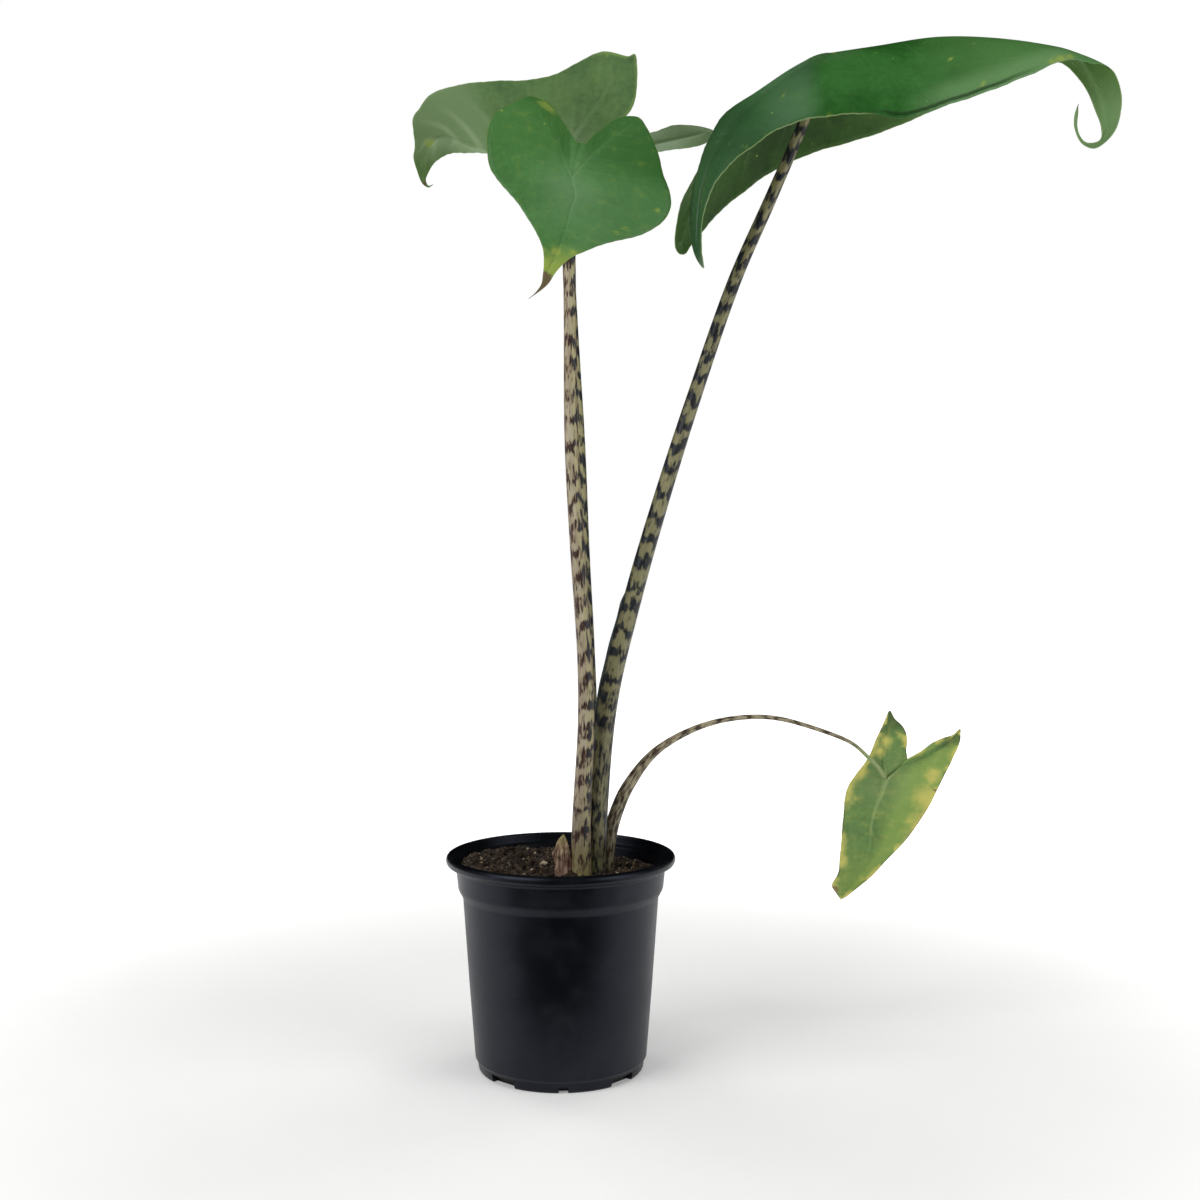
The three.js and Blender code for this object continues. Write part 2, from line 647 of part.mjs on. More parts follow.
function soilGeometry() {
  const gap = POT_WALL + CLEARANCE;
  const wall = [
    [53.5, FLOOR_TOP + CLEARANCE], [57.5 - gap, 9.5], [61.2 - gap, 56], [65.4 - gap, LEDGE_HEIGHT - 5],
  ];
  const topRadius = 68.6 - gap;
  const position = [0, 0, FLOOR_TOP + CLEARANCE];
  const index = [];
  const rings = wall.map(([radius, z]) => [radius, () => z]);
  for (const part of [1, 0.9, 0.76, 0.6, 0.42, 0.22]) {
    rings.push([topRadius * part, (x, y) => soilHeight(x, y, topRadius)]);
  }
  for (const [radius, height] of rings) {
    for (let j = 0; j < SOIL_SIDES; j++) {
      const angle = (j / SOIL_SIDES) * 2 * Math.PI;
      const [x, y] = [radius * Math.cos(angle), radius * Math.sin(angle)];
      position.push(x, y, height(x, y));
    }
  }
  position.push(0, 0, soilHeight(0, 0, topRadius));
  const centre = position.length / 3 - 1;
  const ring = (i, j) => 1 + i * SOIL_SIDES + (j % SOIL_SIDES);
  for (let j = 0; j < SOIL_SIDES; j++) {
    index.push(0, ring(0, j + 1), ring(0, j));
    index.push(centre, ring(rings.length - 1, j), ring(rings.length - 1, j + 1));
    for (let i = 0; i + 1 < rings.length; i++) {
      index.push(ring(i, j), ring(i, j + 1), ring(i + 1, j + 1));
      index.push(ring(i, j), ring(i + 1, j + 1), ring(i + 1, j));
    }
  }
  const geometry = new THREE.BufferGeometry();
  geometry.setAttribute('position', new THREE.Float32BufferAttribute(position, 3));
  geometry.setIndex(index);
  return geometry;
}

// The corm
function cormGeometry(extra = 0) {
  const ball = new THREE.SphereGeometry(1, 14, 10);
  ball.rotateX(Math.PI / 2);
  ball.scale(...CORM.radii.map((radius) => radius + extra));
  ball.translate(...CORM.centre);
  return ball;
}

// Putting the plant together. Each stalk is cut back from the stalks that clasp it, from the corm that it
// grows from and from the blade that it carries, by the clearance.
const blades = { large: largeLeaf, front: frontLeaf, rear: rearLeaf, hanging: hangingLeaf };
const stalks = { front: frontStalk, large: largeStalk, rear: rearStalk, hanging: hangingStalk };

const corm = solidOf(cormGeometry());
const cormRoom = solidOf(cormGeometry(CLEARANCE));
let plantRoom = cormRoom;
let taken = cormRoom;
const stalkSolids = {};
for (const [name, stalk] of Object.entries(stalks)) {
  const room = solidOf(stalkGeometry(stalk, CLEARANCE));
  const bladeRoom = solidOf(bladeGeometry(blades[name], CLEARANCE));
  stalkSolids[name] = largestBody(solidOf(stalkGeometry(stalk)).subtract(taken).subtract(bladeRoom));
  taken = taken.add(room);
  plantRoom = plantRoom.add(room);
}
const sheathSolid = largestBody(solidOf(stalkGeometry(driedSheath)).subtract(taken));
plantRoom = plantRoom.add(solidOf(stalkGeometry(driedSheath, CLEARANCE)));
const soil = largestBody(solidOf(soilGeometry()).subtract(plantRoom));

// The scene graph
const plant = new THREE.Group();

function addPiece(name, geometry, colour, roughness) {
  const material = new THREE.MeshStandardMaterial({ color: colour, roughness, metalness: 0 });
  const mesh = new THREE.Mesh(geometry, material);
  mesh.name = name;
  plant.add(mesh);
}

addPiece('pot', potGeometry(), 0x1d2024, 0.5);
addPiece('soil', geometryOf(soil), 0x33261d, 0.95);
addPiece('corm', geometryOf(corm), 0x6b4a32, 0.8);
addPiece('stalk_front', geometryOf(stalkSolids.front), 0xa39a86, 0.5);
addPiece('stalk_rear', geometryOf(stalkSolids.rear), 0x99a070, 0.5);
addPiece('stalk_large', geometryOf(stalkSolids.large), 0x8f9363, 0.45);
addPiece('stalk_hanging', geometryOf(stalkSolids.hanging), 0x9c9576, 0.5);
addPiece('leaf_front', bladeGeometry(frontLeaf), 0x3b7a3f, 0.45);
addPiece('leaf_rear', bladeGeometry(rearLeaf), 0x5f7f4a, 0.55);
addPiece('leaf_large', bladeGeometry(largeLeaf), 0x2f6b33, 0.35);
addPiece('leaf_hanging', bladeGeometry(hangingLeaf), 0x7d9a52, 0.55);
addPiece('dried_sheath', geometryOf(sheathSolid), 0xa98572, 0.8);

export default plant;
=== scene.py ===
# %% [markdown]
# # A potted zebrina alocasia
# This lesson dresses a plain solid model of a house plant. The plain model already stands where it should,
# at its real size, in metres, with +Z up: a thin black nursery pot, its soil, four stalks and four blades.
# Each step below swaps one of those solids for a finer piece that keeps its place and its form, and gives
# it the surface of the real thing.

# %% Load the plain model
import math

import bmesh
import bpy
import numpy as np
from mathutils import Matrix, Vector, noise


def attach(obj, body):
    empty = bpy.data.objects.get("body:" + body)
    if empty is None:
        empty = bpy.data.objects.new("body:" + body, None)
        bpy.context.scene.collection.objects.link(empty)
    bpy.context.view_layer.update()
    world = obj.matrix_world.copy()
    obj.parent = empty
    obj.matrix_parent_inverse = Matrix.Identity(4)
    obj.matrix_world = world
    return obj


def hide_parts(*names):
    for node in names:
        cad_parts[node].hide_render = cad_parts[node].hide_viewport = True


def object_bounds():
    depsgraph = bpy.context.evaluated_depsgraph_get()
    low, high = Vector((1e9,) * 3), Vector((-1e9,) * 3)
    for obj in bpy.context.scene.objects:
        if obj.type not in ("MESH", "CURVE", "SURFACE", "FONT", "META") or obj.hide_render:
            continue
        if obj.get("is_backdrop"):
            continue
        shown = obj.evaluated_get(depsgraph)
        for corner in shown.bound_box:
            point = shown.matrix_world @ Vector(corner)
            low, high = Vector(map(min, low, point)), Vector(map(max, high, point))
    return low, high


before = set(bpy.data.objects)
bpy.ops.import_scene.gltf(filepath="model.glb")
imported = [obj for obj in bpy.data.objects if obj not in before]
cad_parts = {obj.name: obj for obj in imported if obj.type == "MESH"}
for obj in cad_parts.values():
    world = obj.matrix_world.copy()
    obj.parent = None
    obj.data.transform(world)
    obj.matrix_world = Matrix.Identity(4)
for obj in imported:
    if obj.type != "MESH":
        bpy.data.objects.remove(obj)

MM = 0.001
scene = bpy.context.scene
cad_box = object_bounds()
print("plain model:", sorted(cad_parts))

# %% [markdown]
# ## Camera
# The photograph was taken from about a metre away, at the height of the stalks' middle, with the camera
# tipped down a little. A real lens and a real distance give the same perspective in every leaf, which no
# later cropping could.

# %% Camera
LENS, SENSOR = 48, 36
EYE = (0.0262, -1.0634, 0.3605)
TIPPED_DOWN = 0.044


def placed(name, data):
    """A new object in the scene that shows the given data."""
    made = bpy.data.objects.new(name, data)
    scene.collection.objects.link(made)
    return made


camera = placed("camera", bpy.data.cameras.new("camera"))
camera.data.lens = LENS
camera.data.sensor_width = SENSOR
camera.location = EYE
camera.rotation_euler = (math.pi / 2 - TIPPED_DOWN, 0, 0)
scene.camera = camera
print("camera stands at", EYE)

# %% [markdown]
# ## Helpers for materials
# A colour picked from a screen is an sRGB hex value, while the renderer works with linear light, so one
# function turns the first into the second. Materials are built from nodes, and one more function adds a
# node together with its settings and its links, which keeps each finish readable from top to bottom. The
# last step of each finish joins its patterns to the shader.

# %% Helpers for materials
def linear(code):
    """The linear colour of an sRGB hex value."""
    shares = [int(code[i:i + 2], 16) / 255 for i in (1, 3, 5)]
    return tuple(c / 12.92 if c <= 0.04045 else ((c + 0.055) / 1.055) ** 2.4 for c in shares) + (1.0,)


def add(tree, kind, inputs=None, **settings):
    """Adds a node. Inputs go by name or number, and take a value, a socket or a node's first output."""
    node = tree.nodes.new(kind)
    for name, value in settings.items():
        setattr(node, name, value)
    for key, value in (inputs or {}).items():
        named = isinstance(key, str)
        socket = next(s for s in node.inputs if s.enabled and s.name == key) if named else node.inputs[key]
        if isinstance(value, bpy.types.Node):
            value = next(s for s in value.outputs if s.enabled)
        if isinstance(value, bpy.types.NodeSocket):
            tree.links.new(value, socket)
        else:
            socket.default_value = value
    return node


def material(name, **constants):
    """A new material and its shader. The constants go straight onto the shader's own sockets."""
    made = bpy.data.materials.new(name)
    made.use_nodes = True
    shader = made.node_tree.nodes["Principled BSDF"]
    for socket, value in constants.items():
        shader.inputs[socket.replace("_", " ")].default_value = value
    return made, made.node_tree, shader


def joined(tree, shader, **patterns):
    """Links a finish's patterns, each a node or a socket, to the shader's own sockets."""
    for socket, pattern in patterns.items():
        pattern = pattern.outputs[0] if isinstance(pattern, bpy.types.Node) else pattern
        tree.links.new(pattern, shader.inputs[socket.replace("_", " ")])


def millimetres(tree):
    """A place on the piece in millimetres, so that a pattern's scale is one over its real size."""
    place = add(tree, "ShaderNodeTexCoord").outputs["Object"]
    return add(tree, "ShaderNodeVectorMath", {0: place, 1: (1 / MM,) * 3}, operation="MULTIPLY")


print("sRGB #808080 is", round(linear("#808080")[0], 3), "in linear light")

# %% [markdown]
# ## Helpers for patterns
# Most finishes here are painted in coats, as a sign painter would: a ground, then one tone after another,
# each in an area with soft edges. An edge is a value, such as a noise or a distance, and the two places
# where the coat starts and is full. Noises get cells of a real size, and a weighed sum mixes several.

# %% Helpers for patterns
NOISE_LOW, NOISE_HIGH = 0.3, 0.7  # nearly all of a noise's values lie between these


def cloud(tree, place, across, along, detail):
    """Noise with cells of the given size, in millimetres, across and along the third axis."""
    at = add(tree, "ShaderNodeVectorMath", {0: place, 1: (1 / across, 1 / across, 1 / along)},
             operation="MULTIPLY")
    return add(tree, "ShaderNodeTexNoise", {"Vector": at, "Scale": 1.0, "Detail": detail})


def weighed(tree, terms, total=0.0):
    """The sum of values times their weights, from a starting value."""
    for value, weight in terms:
        total = add(tree, "ShaderNodeMath", {0: value, 1: weight, 2: total}, operation="MULTIPLY_ADD")
    return total


def area(tree, *edges, most=1.0):
    """The area inside all edges: each is a value with the places where it starts and is full."""
    for value, start, full in edges:
        most = add(tree, "ShaderNodeMapRange", {"Value": value, "From Min": start, "From Max": full,
                                                "To Min": 0, "To Max": most},
                   interpolation_type="SMOOTHSTEP")
    return most


def coated(tree, colour, tone, *edges, most=1.0):
    """A colour with a coat of another tone over it in the area inside all edges."""
    colour, tone = (linear(c) if isinstance(c, str) else c for c in (colour, tone))
    share = area(tree, *edges, most=most)
    coat = add(tree, "ShaderNodeMix", {"Factor": share, "A": colour, "B": tone}, data_type="RGBA")
    return coat.outputs[2]


def mottled(tree, colour, value, dark, light):
    """A colour made darker and lighter by a noise."""
    tone = add(tree, "ShaderNodeMapRange", {"Value": value, "From Min": NOISE_LOW, "From Max": NOISE_HIGH,
                                            "To Min": dark, "To Max": light})
    shaded = add(tree, "ShaderNodeMix", {"Factor": 1.0, "A": colour, "B": tone}, data_type="RGBA",
                 blend_type="MULTIPLY")
    return shaded.outputs[2]


print("nearly all of a noise lies between", NOISE_LOW, "and", NOISE_HIGH)

# %% [markdown]
# ## Floor
# The plant stands on white paper. The paper glows a little further out, as a lit backdrop does, so that it
# meets the white room behind it without a line. The glow follows the distance from the plant alone, so it
# stays where it is when the camera moves.

# %% Floor
FLOOR_HALF = 4.0
GLOW_FROM, GLOW_TO = 0.25, 1.1
GLOW_NEAR, GLOW_FAR = 0.22, 1.0
PAPER_CLOUD = 40
floor_mesh = bpy.data.meshes.new("floor")
corners = [(x * FLOOR_HALF, y * FLOOR_HALF, 0) for x, y in ((-1, -1), (1, -1), (1, 1), (-1, 1))]
floor_mesh.from_pydata(corners, [], [(0, 1, 2, 3)])
floor = placed("floor", floor_mesh)
paper, tree, shader = material("white_paper", Roughness=0.9, Specular_IOR_Level=0.0,
                               Emission_Color=linear("#ffffff"))
place = add(tree, "ShaderNodeTexCoord").outputs["Object"]
grain = add(tree, "ShaderNodeTexNoise", {"Vector": millimetres(tree), "Scale": 1 / PAPER_CLOUD, "Detail": 2})
far = add(tree, "ShaderNodeVectorMath", {0: place}, operation="LENGTH").outputs["Value"]
glow = add(tree, "ShaderNodeMapRange", {"Value": far, "From Min": GLOW_FROM, "From Max": GLOW_TO,
                                        "To Min": GLOW_NEAR, "To Max": GLOW_FAR},
           interpolation_type="SMOOTHSTEP")
joined(tree, shader, Base_Color=coated(tree, "#e9e9e8", "#e4e4e3", most=grain), Emission_Strength=glow)
paper.cycles.emission_sampling = "NONE"
floor_mesh.materials.append(paper)
floor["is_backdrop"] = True
print("floor is", 2 * FLOOR_HALF, "m wide")

# %% [markdown]
# ## Light
# A world that lit the plant from all round would make it flat, so the white room is only what the camera
# sees behind it, and five large soft lamps do the lighting: a strong one above the left shoulder of the
# camera, a weaker one at the right, one overhead and two behind. Large lamps give shadows soft edges.

# %% Light
LAMPS_AIM = (0.05, 0, 0.35)
LAMPS = {
    "soft_box_left": {"at": (-1.5, -1.3, 1.5), "size": 1.5, "watts": 28, "shine": True},
    "soft_box_right": {"at": (1.7, -1.0, 0.9), "size": 1.2, "watts": 12, "shine": True},
    "soft_box_above": {"at": (0.1, -0.2, 2.5), "size": 2.0, "watts": 30, "shine": False},
    "soft_box_rear_left": {"at": (-1.5, 1.6, 1.0), "size": 1.2, "watts": 12, "shine": False},
    "soft_box_rear_right": {"at": (1.6, 1.6, 1.0), "size": 1.2, "watts": 12, "shine": False},
}
scene.view_settings.view_transform = "Standard"
world = bpy.data.worlds.new("white_room")
world.use_nodes = True
scene.world = world
world.node_tree.nodes["Background"].inputs["Color"].default_value = linear("#ffffff")
world.node_tree.nodes["Background"].inputs["Strength"].default_value = 1.0
world.cycles_visibility.diffuse = False
world.cycles_visibility.glossy = False
for name, lamp in LAMPS.items():
    light = bpy.data.lights.new(name, "AREA")
    light.size = lamp["size"]
    light.energy = lamp["watts"]
    holder = placed(name, light)
    holder.location = lamp["at"]
    holder.rotation_euler = (Vector(LAMPS_AIM) - holder.location).to_track_quat("-Z", "Y").to_euler()
    holder.visible_camera = False
    holder.visible_glossy = lamp["shine"]
print("lamps:", list(LAMPS))

# %% [markdown]
# ## Dark card
# Glossy things show whatever stands round them. A dark card lies on the paper in front of the pot, seen by
# reflections alone, and gives the black plastic its dark middle between two hazy sides. In a studio a piece
# of black velvet does the same.

# %% Dark card
CARD = [(-0.04, -0.125), (-0.5, -0.25), (-2.5, -3.0), (2.5, -3.0), (0.5, -0.25), (0.04, -0.125)]
CARD_LIES_AT = 0.0005
card_mesh = bpy.data.meshes.new("dark_card")
card_mesh.from_pydata([(x, y, CARD_LIES_AT) for x, y in CARD], [], [tuple(range(len(CARD)))])
card_mesh.materials.append(material("black_velvet", Base_Color=linear("#050505"), Roughness=1.0)[0])
card = placed("dark_card", card_mesh)
card.visible_camera = False
card.visible_diffuse = False
card.visible_shadow = False
card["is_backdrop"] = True
print("the dark card has", len(CARD), "corners")

# %% [markdown]
# ## Smooth curves
# Everything that grew follows a smooth curve through a few measured points. The centripetal curve used here
# passes through its points without the loops and overshoot that evenly timed curves make where points lie
# close together. A second function measures the way along it, and a third one finds places by true length,
# so that half the way is half the rib.

# %% Smooth curves
FINE = 400


def curve(points, at, least=1e-9):
    """Places on the smooth curve through the points. at runs from 0 to 1 with equal steps between points."""
    points = np.asarray(points, float)
    p = np.vstack([2 * points[0] - points[1], points, 2 * points[-1] - points[-2]])
    steps = len(points) - 1
    at = np.clip(np.atleast_1d(np.asarray(at, float)), 0, 1) * steps
    i = np.minimum(at.astype(int), steps - 1)
    w = (at - i)[:, None]
    p0, p1, p2, p3 = p[i], p[i + 1], p[i + 2], p[i + 3]
    d0, d1, d2 = (np.linalg.norm(b - a, axis=1, keepdims=True) ** 0.5 + least
                  for a, b in ((p0, p1), (p1, p2), (p2, p3)))
    leave = ((p1 - p0) / d0 - (p2 - p0) / (d0 + d1) + (p2 - p1) / d1) * d1
    arrive = ((p2 - p1) / d1 - (p3 - p1) / (d1 + d2) + (p3 - p2) / d2) * d1
    bend = 3 * (p2 - p1) - 2 * leave - arrive
    twist = 2 * (p1 - p2) + leave + arrive
    return p1 + w * (leave + w * (bend + w * twist))


def way(places):
    """How far it is from the first place to each of the places, going from one to the next."""
    return np.concatenate([[0], np.cumsum(np.linalg.norm(np.diff(places, axis=0), axis=1))])


def even(points, share):
    """Places on the same curve by share of its true length."""
    fine = np.linspace(0, 1, FINE)
    walked = way(curve(points, fine))
    return curve(points, np.interp(np.asarray(share) * walked[-1], walked, fine))


def unit(vectors, least=1e-12):
    """The same directions at length one."""
    return vectors / np.maximum(np.linalg.norm(vectors, axis=-1, keepdims=True), least)


bow = curve([(0, 0), (1, 1), (2, 0)], np.linspace(0, 1, FINE))
print("a bow over two straight steps is", round(way(bow)[-1] / (2 * math.sqrt(2)), 3), "times their length")

# %% [markdown]
# ## A finished piece
# Each piece ends the same way, so one function does it: the piece moves with the plant and takes the place
# of its plain solid. Its triangles are counted, because a piece that is too heavy is hard to work with.

# %% A finished piece
def finished(name, mesh, node):
    """A finished piece. A piece without a node of its own adds detail to one that another piece replaces."""
    mesh.name = name
    piece = placed(name, mesh)
    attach(piece, "root")
    if node:
        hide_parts(node)
    mesh.calc_loop_triangles()
    print(name, "has", len(mesh.loop_triangles), "triangles")


print("nodes of the plain model:", len(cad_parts))

# %% [markdown]
# ## The blades' measured points
# An arrow-shaped blade hangs on three ribs that meet over the stalk: the midrib runs to the tip, and one rib
# runs into each rear lobe. The tables give those ribs and the margin, in millimetres, as measured points. A
# station is a share of the way along a rib, with the margin's points that belong to it. A sculpted or
# simulated leaf could not promise to stay inside the plain solid, and this does.

# %% The blades' measured points
LARGE_LEAF = {
    "ridge": 2.4, "crown": (0.05, 0.09), "sinus": (167.5, 6, 671.5),
    "midrib": [
        (178, 6, 674.5), (208, 8, 679.5), (249.5, 8, 685.5), (288.5, 6, 684), (315.5, 4, 679.5),
        (332, 2, 674.5), (343, 1, 667.5), (351.5, 2, 653), (356, 1, 638.5), (358, 0, 626.5),
        (355, -2, 616), (349, -4, 611.5), (341.5, -6, 614), (337, -8, 621.5), (336, -9, 630),
        (337, -10, 637),
    ],
    "stations": [
        (0.97, (337.5, -9, 632), (335, -10, 630.5)), (0.935, (337.5, -8, 621.5), (335, -9.5, 622.5)),
        (0.905, (342, -7, 614), (340, -8, 612.5)), (0.88, (349, -4, 613.5), (348.5, -7, 609)),
        (0.85, (354.5, -2, 616.5), (356, -6, 613)), (0.81, (355, 0, 625.5), (363.5, -5, 622)),
        (0.765, (352.5, 3, 635), (367, -4, 634.5)), (0.72, (348, 6, 648.5), (367, -4, 645.5)),
        (0.67, (343, 9, 658), (362, -6, 657.5)), (0.63, (336, 13, 667.5), (354.5, -9, 662)),
        (0.59, (330, 19, 672), (343, -13, 662.5)), (0.55, (315.5, 27, 669), (327, -18, 663)),
        (0.46, (296, 35, 662), (305, -24, 653)), (0.36, (272, 43, 654), (275, -30, 640)),
        (0.26, (246, 50, 644), (245, -35, 629)), (0.17, (223, 55, 635.5), (219, -39, 620.5)),
        (0.08, (201, 58, 629), (195, -42, 622.5)), (0, (179, 61, 623.5), (174, -45, 620.5)),
    ],
    "lobes": [
        {
            "rib": [
                (159, 14, 665), (134, 27, 648.5), (113.5, 39, 626), (97, 48, 599), (86.5, 52, 575.5),
                (82, 53, 560),
            ],
            "stations": [
                (0.12, (163, 64, 618), (148, 9, 657.5)), (0.28, (143.5, 67, 608.5), (132.5, 14, 648)),
                (0.44, (125.5, 69, 595.5), (118, 19, 635.5)), (0.6, (109.5, 70, 582.5), (104, 25, 620)),
                (0.76, (99, 69.5, 570), (92, 33, 602.5)), (0.9, (92, 67, 561.5), (81.5, 42, 583)),
            ],
            "end": [(88.5, 64, 556.5), (86, 61, 552.5), (81.5, 57, 551.5), (78, 51, 556)],
        },
        {
            "rib": [
                (157.5, 0, 663.5), (128, -11, 639), (111.5, -20, 620.5), (98, -28, 597),
                (90.5, -34, 573.5), (87.5, -38, 540),
            ],
            "stations": [
                (0.12, (155.5, -47, 617.5), (145, 3, 658)), (0.28, (137, -49, 610.5), (126.5, 0, 645.5)),
                (0.44, (121, -50, 599.5), (109, -4, 633.5)), (0.6, (105.5, -51, 586.5), (98, -9, 616.5)),
                (0.76, (95, -50, 570), (89.5, -15, 593.5)), (0.9, (90.5, -48, 552), (84, -24, 566)),
            ],
            "end": [(90.5, -45, 536.5), (92, -41, 526), (88, -36, 532), (85, -32, 542)],
        },
    ],
}

FRONT_LEAF = {
    "ridge": 1.4, "crown": (0.04, 0.04), "sinus": (12, -30, 607.5),
    "midrib": [
        (8.5, -45, 581.5), (11, -52, 569), (9, -57, 562), (5, -67, 545), (0, -76, 530), (-5, -81, 519),
        (-7, -83, 511), (-11, -84, 505.5), (-17.5, -84, 500.5),
    ],
    "stations": [
        (0.92, (-12, -84, 504), (-12.5, -84, 505)), (0.85, (-5.5, -83, 509.5), (-9.5, -83.5, 509.5)),
        (0.78, (0, -80.5, 518), (-8.5, -83, 515.5)), (0.68, (8.5, -76.5, 526.5), (-8, -81, 523.5)),
        (0.56, (19, -71.5, 532), (-9, -77, 533)), (0.43, (30.5, -65, 537.5), (-14, -71, 544.5)),
        (0.3, (46, -58, 542), (-21.5, -64, 557.5)), (0.18, (59.5, -52, 548.5), (-30, -57, 569.5)),
        (0.08, (67, -47, 555.5), (-38, -52, 579)), (0, (71, -43, 564.5), (-43, -48, 588)),
    ],
    "lobes": [
        {
            "rib": [
                (16.5, -41, 592), (27, -37, 603), (37.5, -33, 612), (46, -29, 618.5),
            ],
            "stations": [
                (0.2, (70, -41, 575), (17.5, -28, 607.5)), (0.45, (66, -38, 586.5), (21.5, -26, 612)),
                (0.7, (63.5, -35, 598.5), (28.5, -24, 618.5)),
                (0.9, (59.5, -32, 609.5), (35.5, -23, 623.5)),
            ],
            "end": [(55.5, -29, 618), (51.5, -26, 624), (44, -24, 625.5)],
        },
        {
            "rib": [
                (3, -41, 594), (-1.5, -36, 609), (-10, -30, 626.5),
            ],
            "stations": [
                (0.2, (-45, -44, 600.5), (7, -21, 615)), (0.45, (-44.5, -40, 613.5), (3, -16, 623)),
                (0.7, (-41, -37, 623), (-1.5, -13, 630.5)), (0.9, (-35.5, -34, 628.5), (-7, -14, 636)),
            ],
            "end": [(-28.5, -30, 632.5), (-20.5, -22, 638.5), (-14, -17, 639)],
        },
    ],
}

REAR_LEAF = {
    "ridge": 2, "crown": (0.05, 0.05), "sinus": (11.5, 50, 622),
    "midrib": [
        (3, 48, 622.5), (-22, 51, 621.5), (-52, 53, 622.5), (-68.5, 53, 627.5), (-80, 51, 630.5),
        (-88, 48, 627), (-92.5, 45, 619.5), (-94.5, 43, 609), (-94, 42, 598.5), (-91, 42, 594.5),
        (-87.5, 42, 596.5),
    ],
    "stations": [
        (0.97, (-91, 42, 594), (-91, 42, 595.5)), (0.93, (-95, 41, 596.5), (-93, 43, 599)),
        (0.86, (-98.5, 38, 605), (-91.5, 48, 606)), (0.8, (-100.5, 37, 613), (-88.5, 54, 613)),
        (0.75, (-99.5, 36, 621), (-85, 59, 617.5)), (0.71, (-100.5, 36, 630), (-81, 65, 621.5)),
        (0.67, (-100.5, 35, 639.5), (-77.5, 70, 623.5)), (0.62, (-96.5, 34, 645), (-73, 76, 625.5)),
        (0.56, (-90.5, 32, 652.5), (-66.5, 82, 627)), (0.48, (-81.5, 29, 656.5), (-55.5, 89, 628)),
        (0.38, (-64, 25, 659.5), (-42.5, 95, 629)), (0.27, (-43.5, 20, 660), (-26.5, 101, 630)),
        (0.16, (-26.5, 17, 659.5), (-10, 105, 631)), (0.07, (-11.5, 14, 660.5), (5, 107, 631.5)),
        (0, (-0.5, 12, 663.5), (19, 108, 632)),
    ],
    "lobes": [
        {
            "rib": [
                (12.5, 41, 634), (24, 32, 647.5), (33.5, 25, 659.5), (40, 20, 668),
            ],
            "stations": [
                (0.2, (11.5, 11, 669.5), (22, 46, 626.5)), (0.45, (22, 11, 675), (33.5, 41, 634.5)),
                (0.7, (30, 12, 677), (44.5, 36, 641.5)), (0.9, (37.5, 13, 676), (49, 31, 647.5)),
            ],
            "end": [(45, 14, 674.5), (49.5, 16, 676.5), (51, 19, 669.5), (51, 25, 658)],
        },
        {
            "rib": [
                (26, 60, 624.5), (50.5, 71, 628.5), (72, 77, 634), (89.5, 79, 638), (99.5, 79, 640.5),
            ],
            "stations": [
                (0.2, (35.5, 108, 632.5), (26, 53, 626)), (0.45, (55, 106, 632.5), (45, 56, 630)),
                (0.7, (73, 102, 633), (63, 60, 636)), (0.9, (89, 95, 633.5), (79, 65, 642)),
            ],
            "end": [(101.5, 88, 635), (107.5, 80, 640.5), (96.5, 71, 642.5)],
        },
    ],
}

HANGING_LEAF = {
    "ridge": 1.3, "crown": (0.04, 0.04), "sinus": (246, 74, 196.5),
    "midrib": [
        (230, 72, 181.5), (227.5, 73, 172), (223.5, 74, 162), (220, 74, 147.5), (219, 73, 135),
        (216, 71, 126), (210, 68, 116.5), (203, 64, 107.5), (197, 60, 98.5),
    ],
    "stations": [
        (0.97, (193.5, 59.5, 103.5), (201, 60, 101)), (0.9, (190.5, 59.5, 108.5), (209, 61, 107)),
        (0.8, (195.5, 63, 117.5), (219.5, 63.5, 115)), (0.68, (197, 65.5, 129.5), (231, 66, 126.5)),
        (0.54, (198.5, 67, 145.5), (242.5, 67, 138)), (0.4, (199.5, 67.5, 158.5), (252.5, 67, 151.5)),
        (0.26, (200.5, 68, 169), (260.5, 66, 165)), (0.12, (203, 69, 178), (266.5, 65, 178)),
        (0, (209, 71, 186.5), (271.5, 64, 189)),
    ],
    "lobes": [
        {
            "rib": [
                (229, 73, 192.5), (230, 74, 206.5), (231.5, 72, 222),
            ],
            "stations": [
                (0.2, (215, 73, 193.5), (245, 74, 202.5)), (0.45, (219.5, 74, 201), (245.5, 73.5, 209)),
                (0.7, (223, 74, 210), (244.5, 73, 216)), (0.9, (227, 72, 219.5), (241, 72, 221.5)),
            ],
            "end": [(229.5, 70, 226.5), (232, 68, 232), (236, 70, 226)],
        },
        {
            "rib": [
                (242.5, 73, 192), (257.5, 70, 200), (272, 64, 209.5),
            ],
            "stations": [
                (0.2, (274, 63.5, 194), (250, 72, 199.5)), (0.45, (276.5, 63, 200), (255.5, 69.5, 203.5)),
                (0.7, (279, 62, 206), (261.5, 66, 209)), (0.9, (280.5, 61, 212), (269.5, 62.5, 213.5)),
            ],
            "end": [(280.5, 60, 216), (280, 59, 220), (275.5, 60, 216)],
        },
    ],
}

LEAVES = {"large": LARGE_LEAF, "front": FRONT_LEAF, "rear": REAR_LEAF, "hanging": HANGING_LEAF}
for name, leaf in LEAVES.items():
    print("midrib of the", name, "blade:", round(way(np.array(leaf["midrib"], float))[-1]), "mm")

# %% [markdown]
# ## The skeleton and the margin of one half
# A position q runs along the ribs, from -1 at the tip through 0 over the stalk to 1 at the lobe's end, back
# to 2 over the stalk and on to 3 in the notch between the lobes. Each q has a place on the ribs and one on
# the margin, and the line between the two lies in the blade. The way that the upper face looks there is at
# right angles to that line and to the ribs.

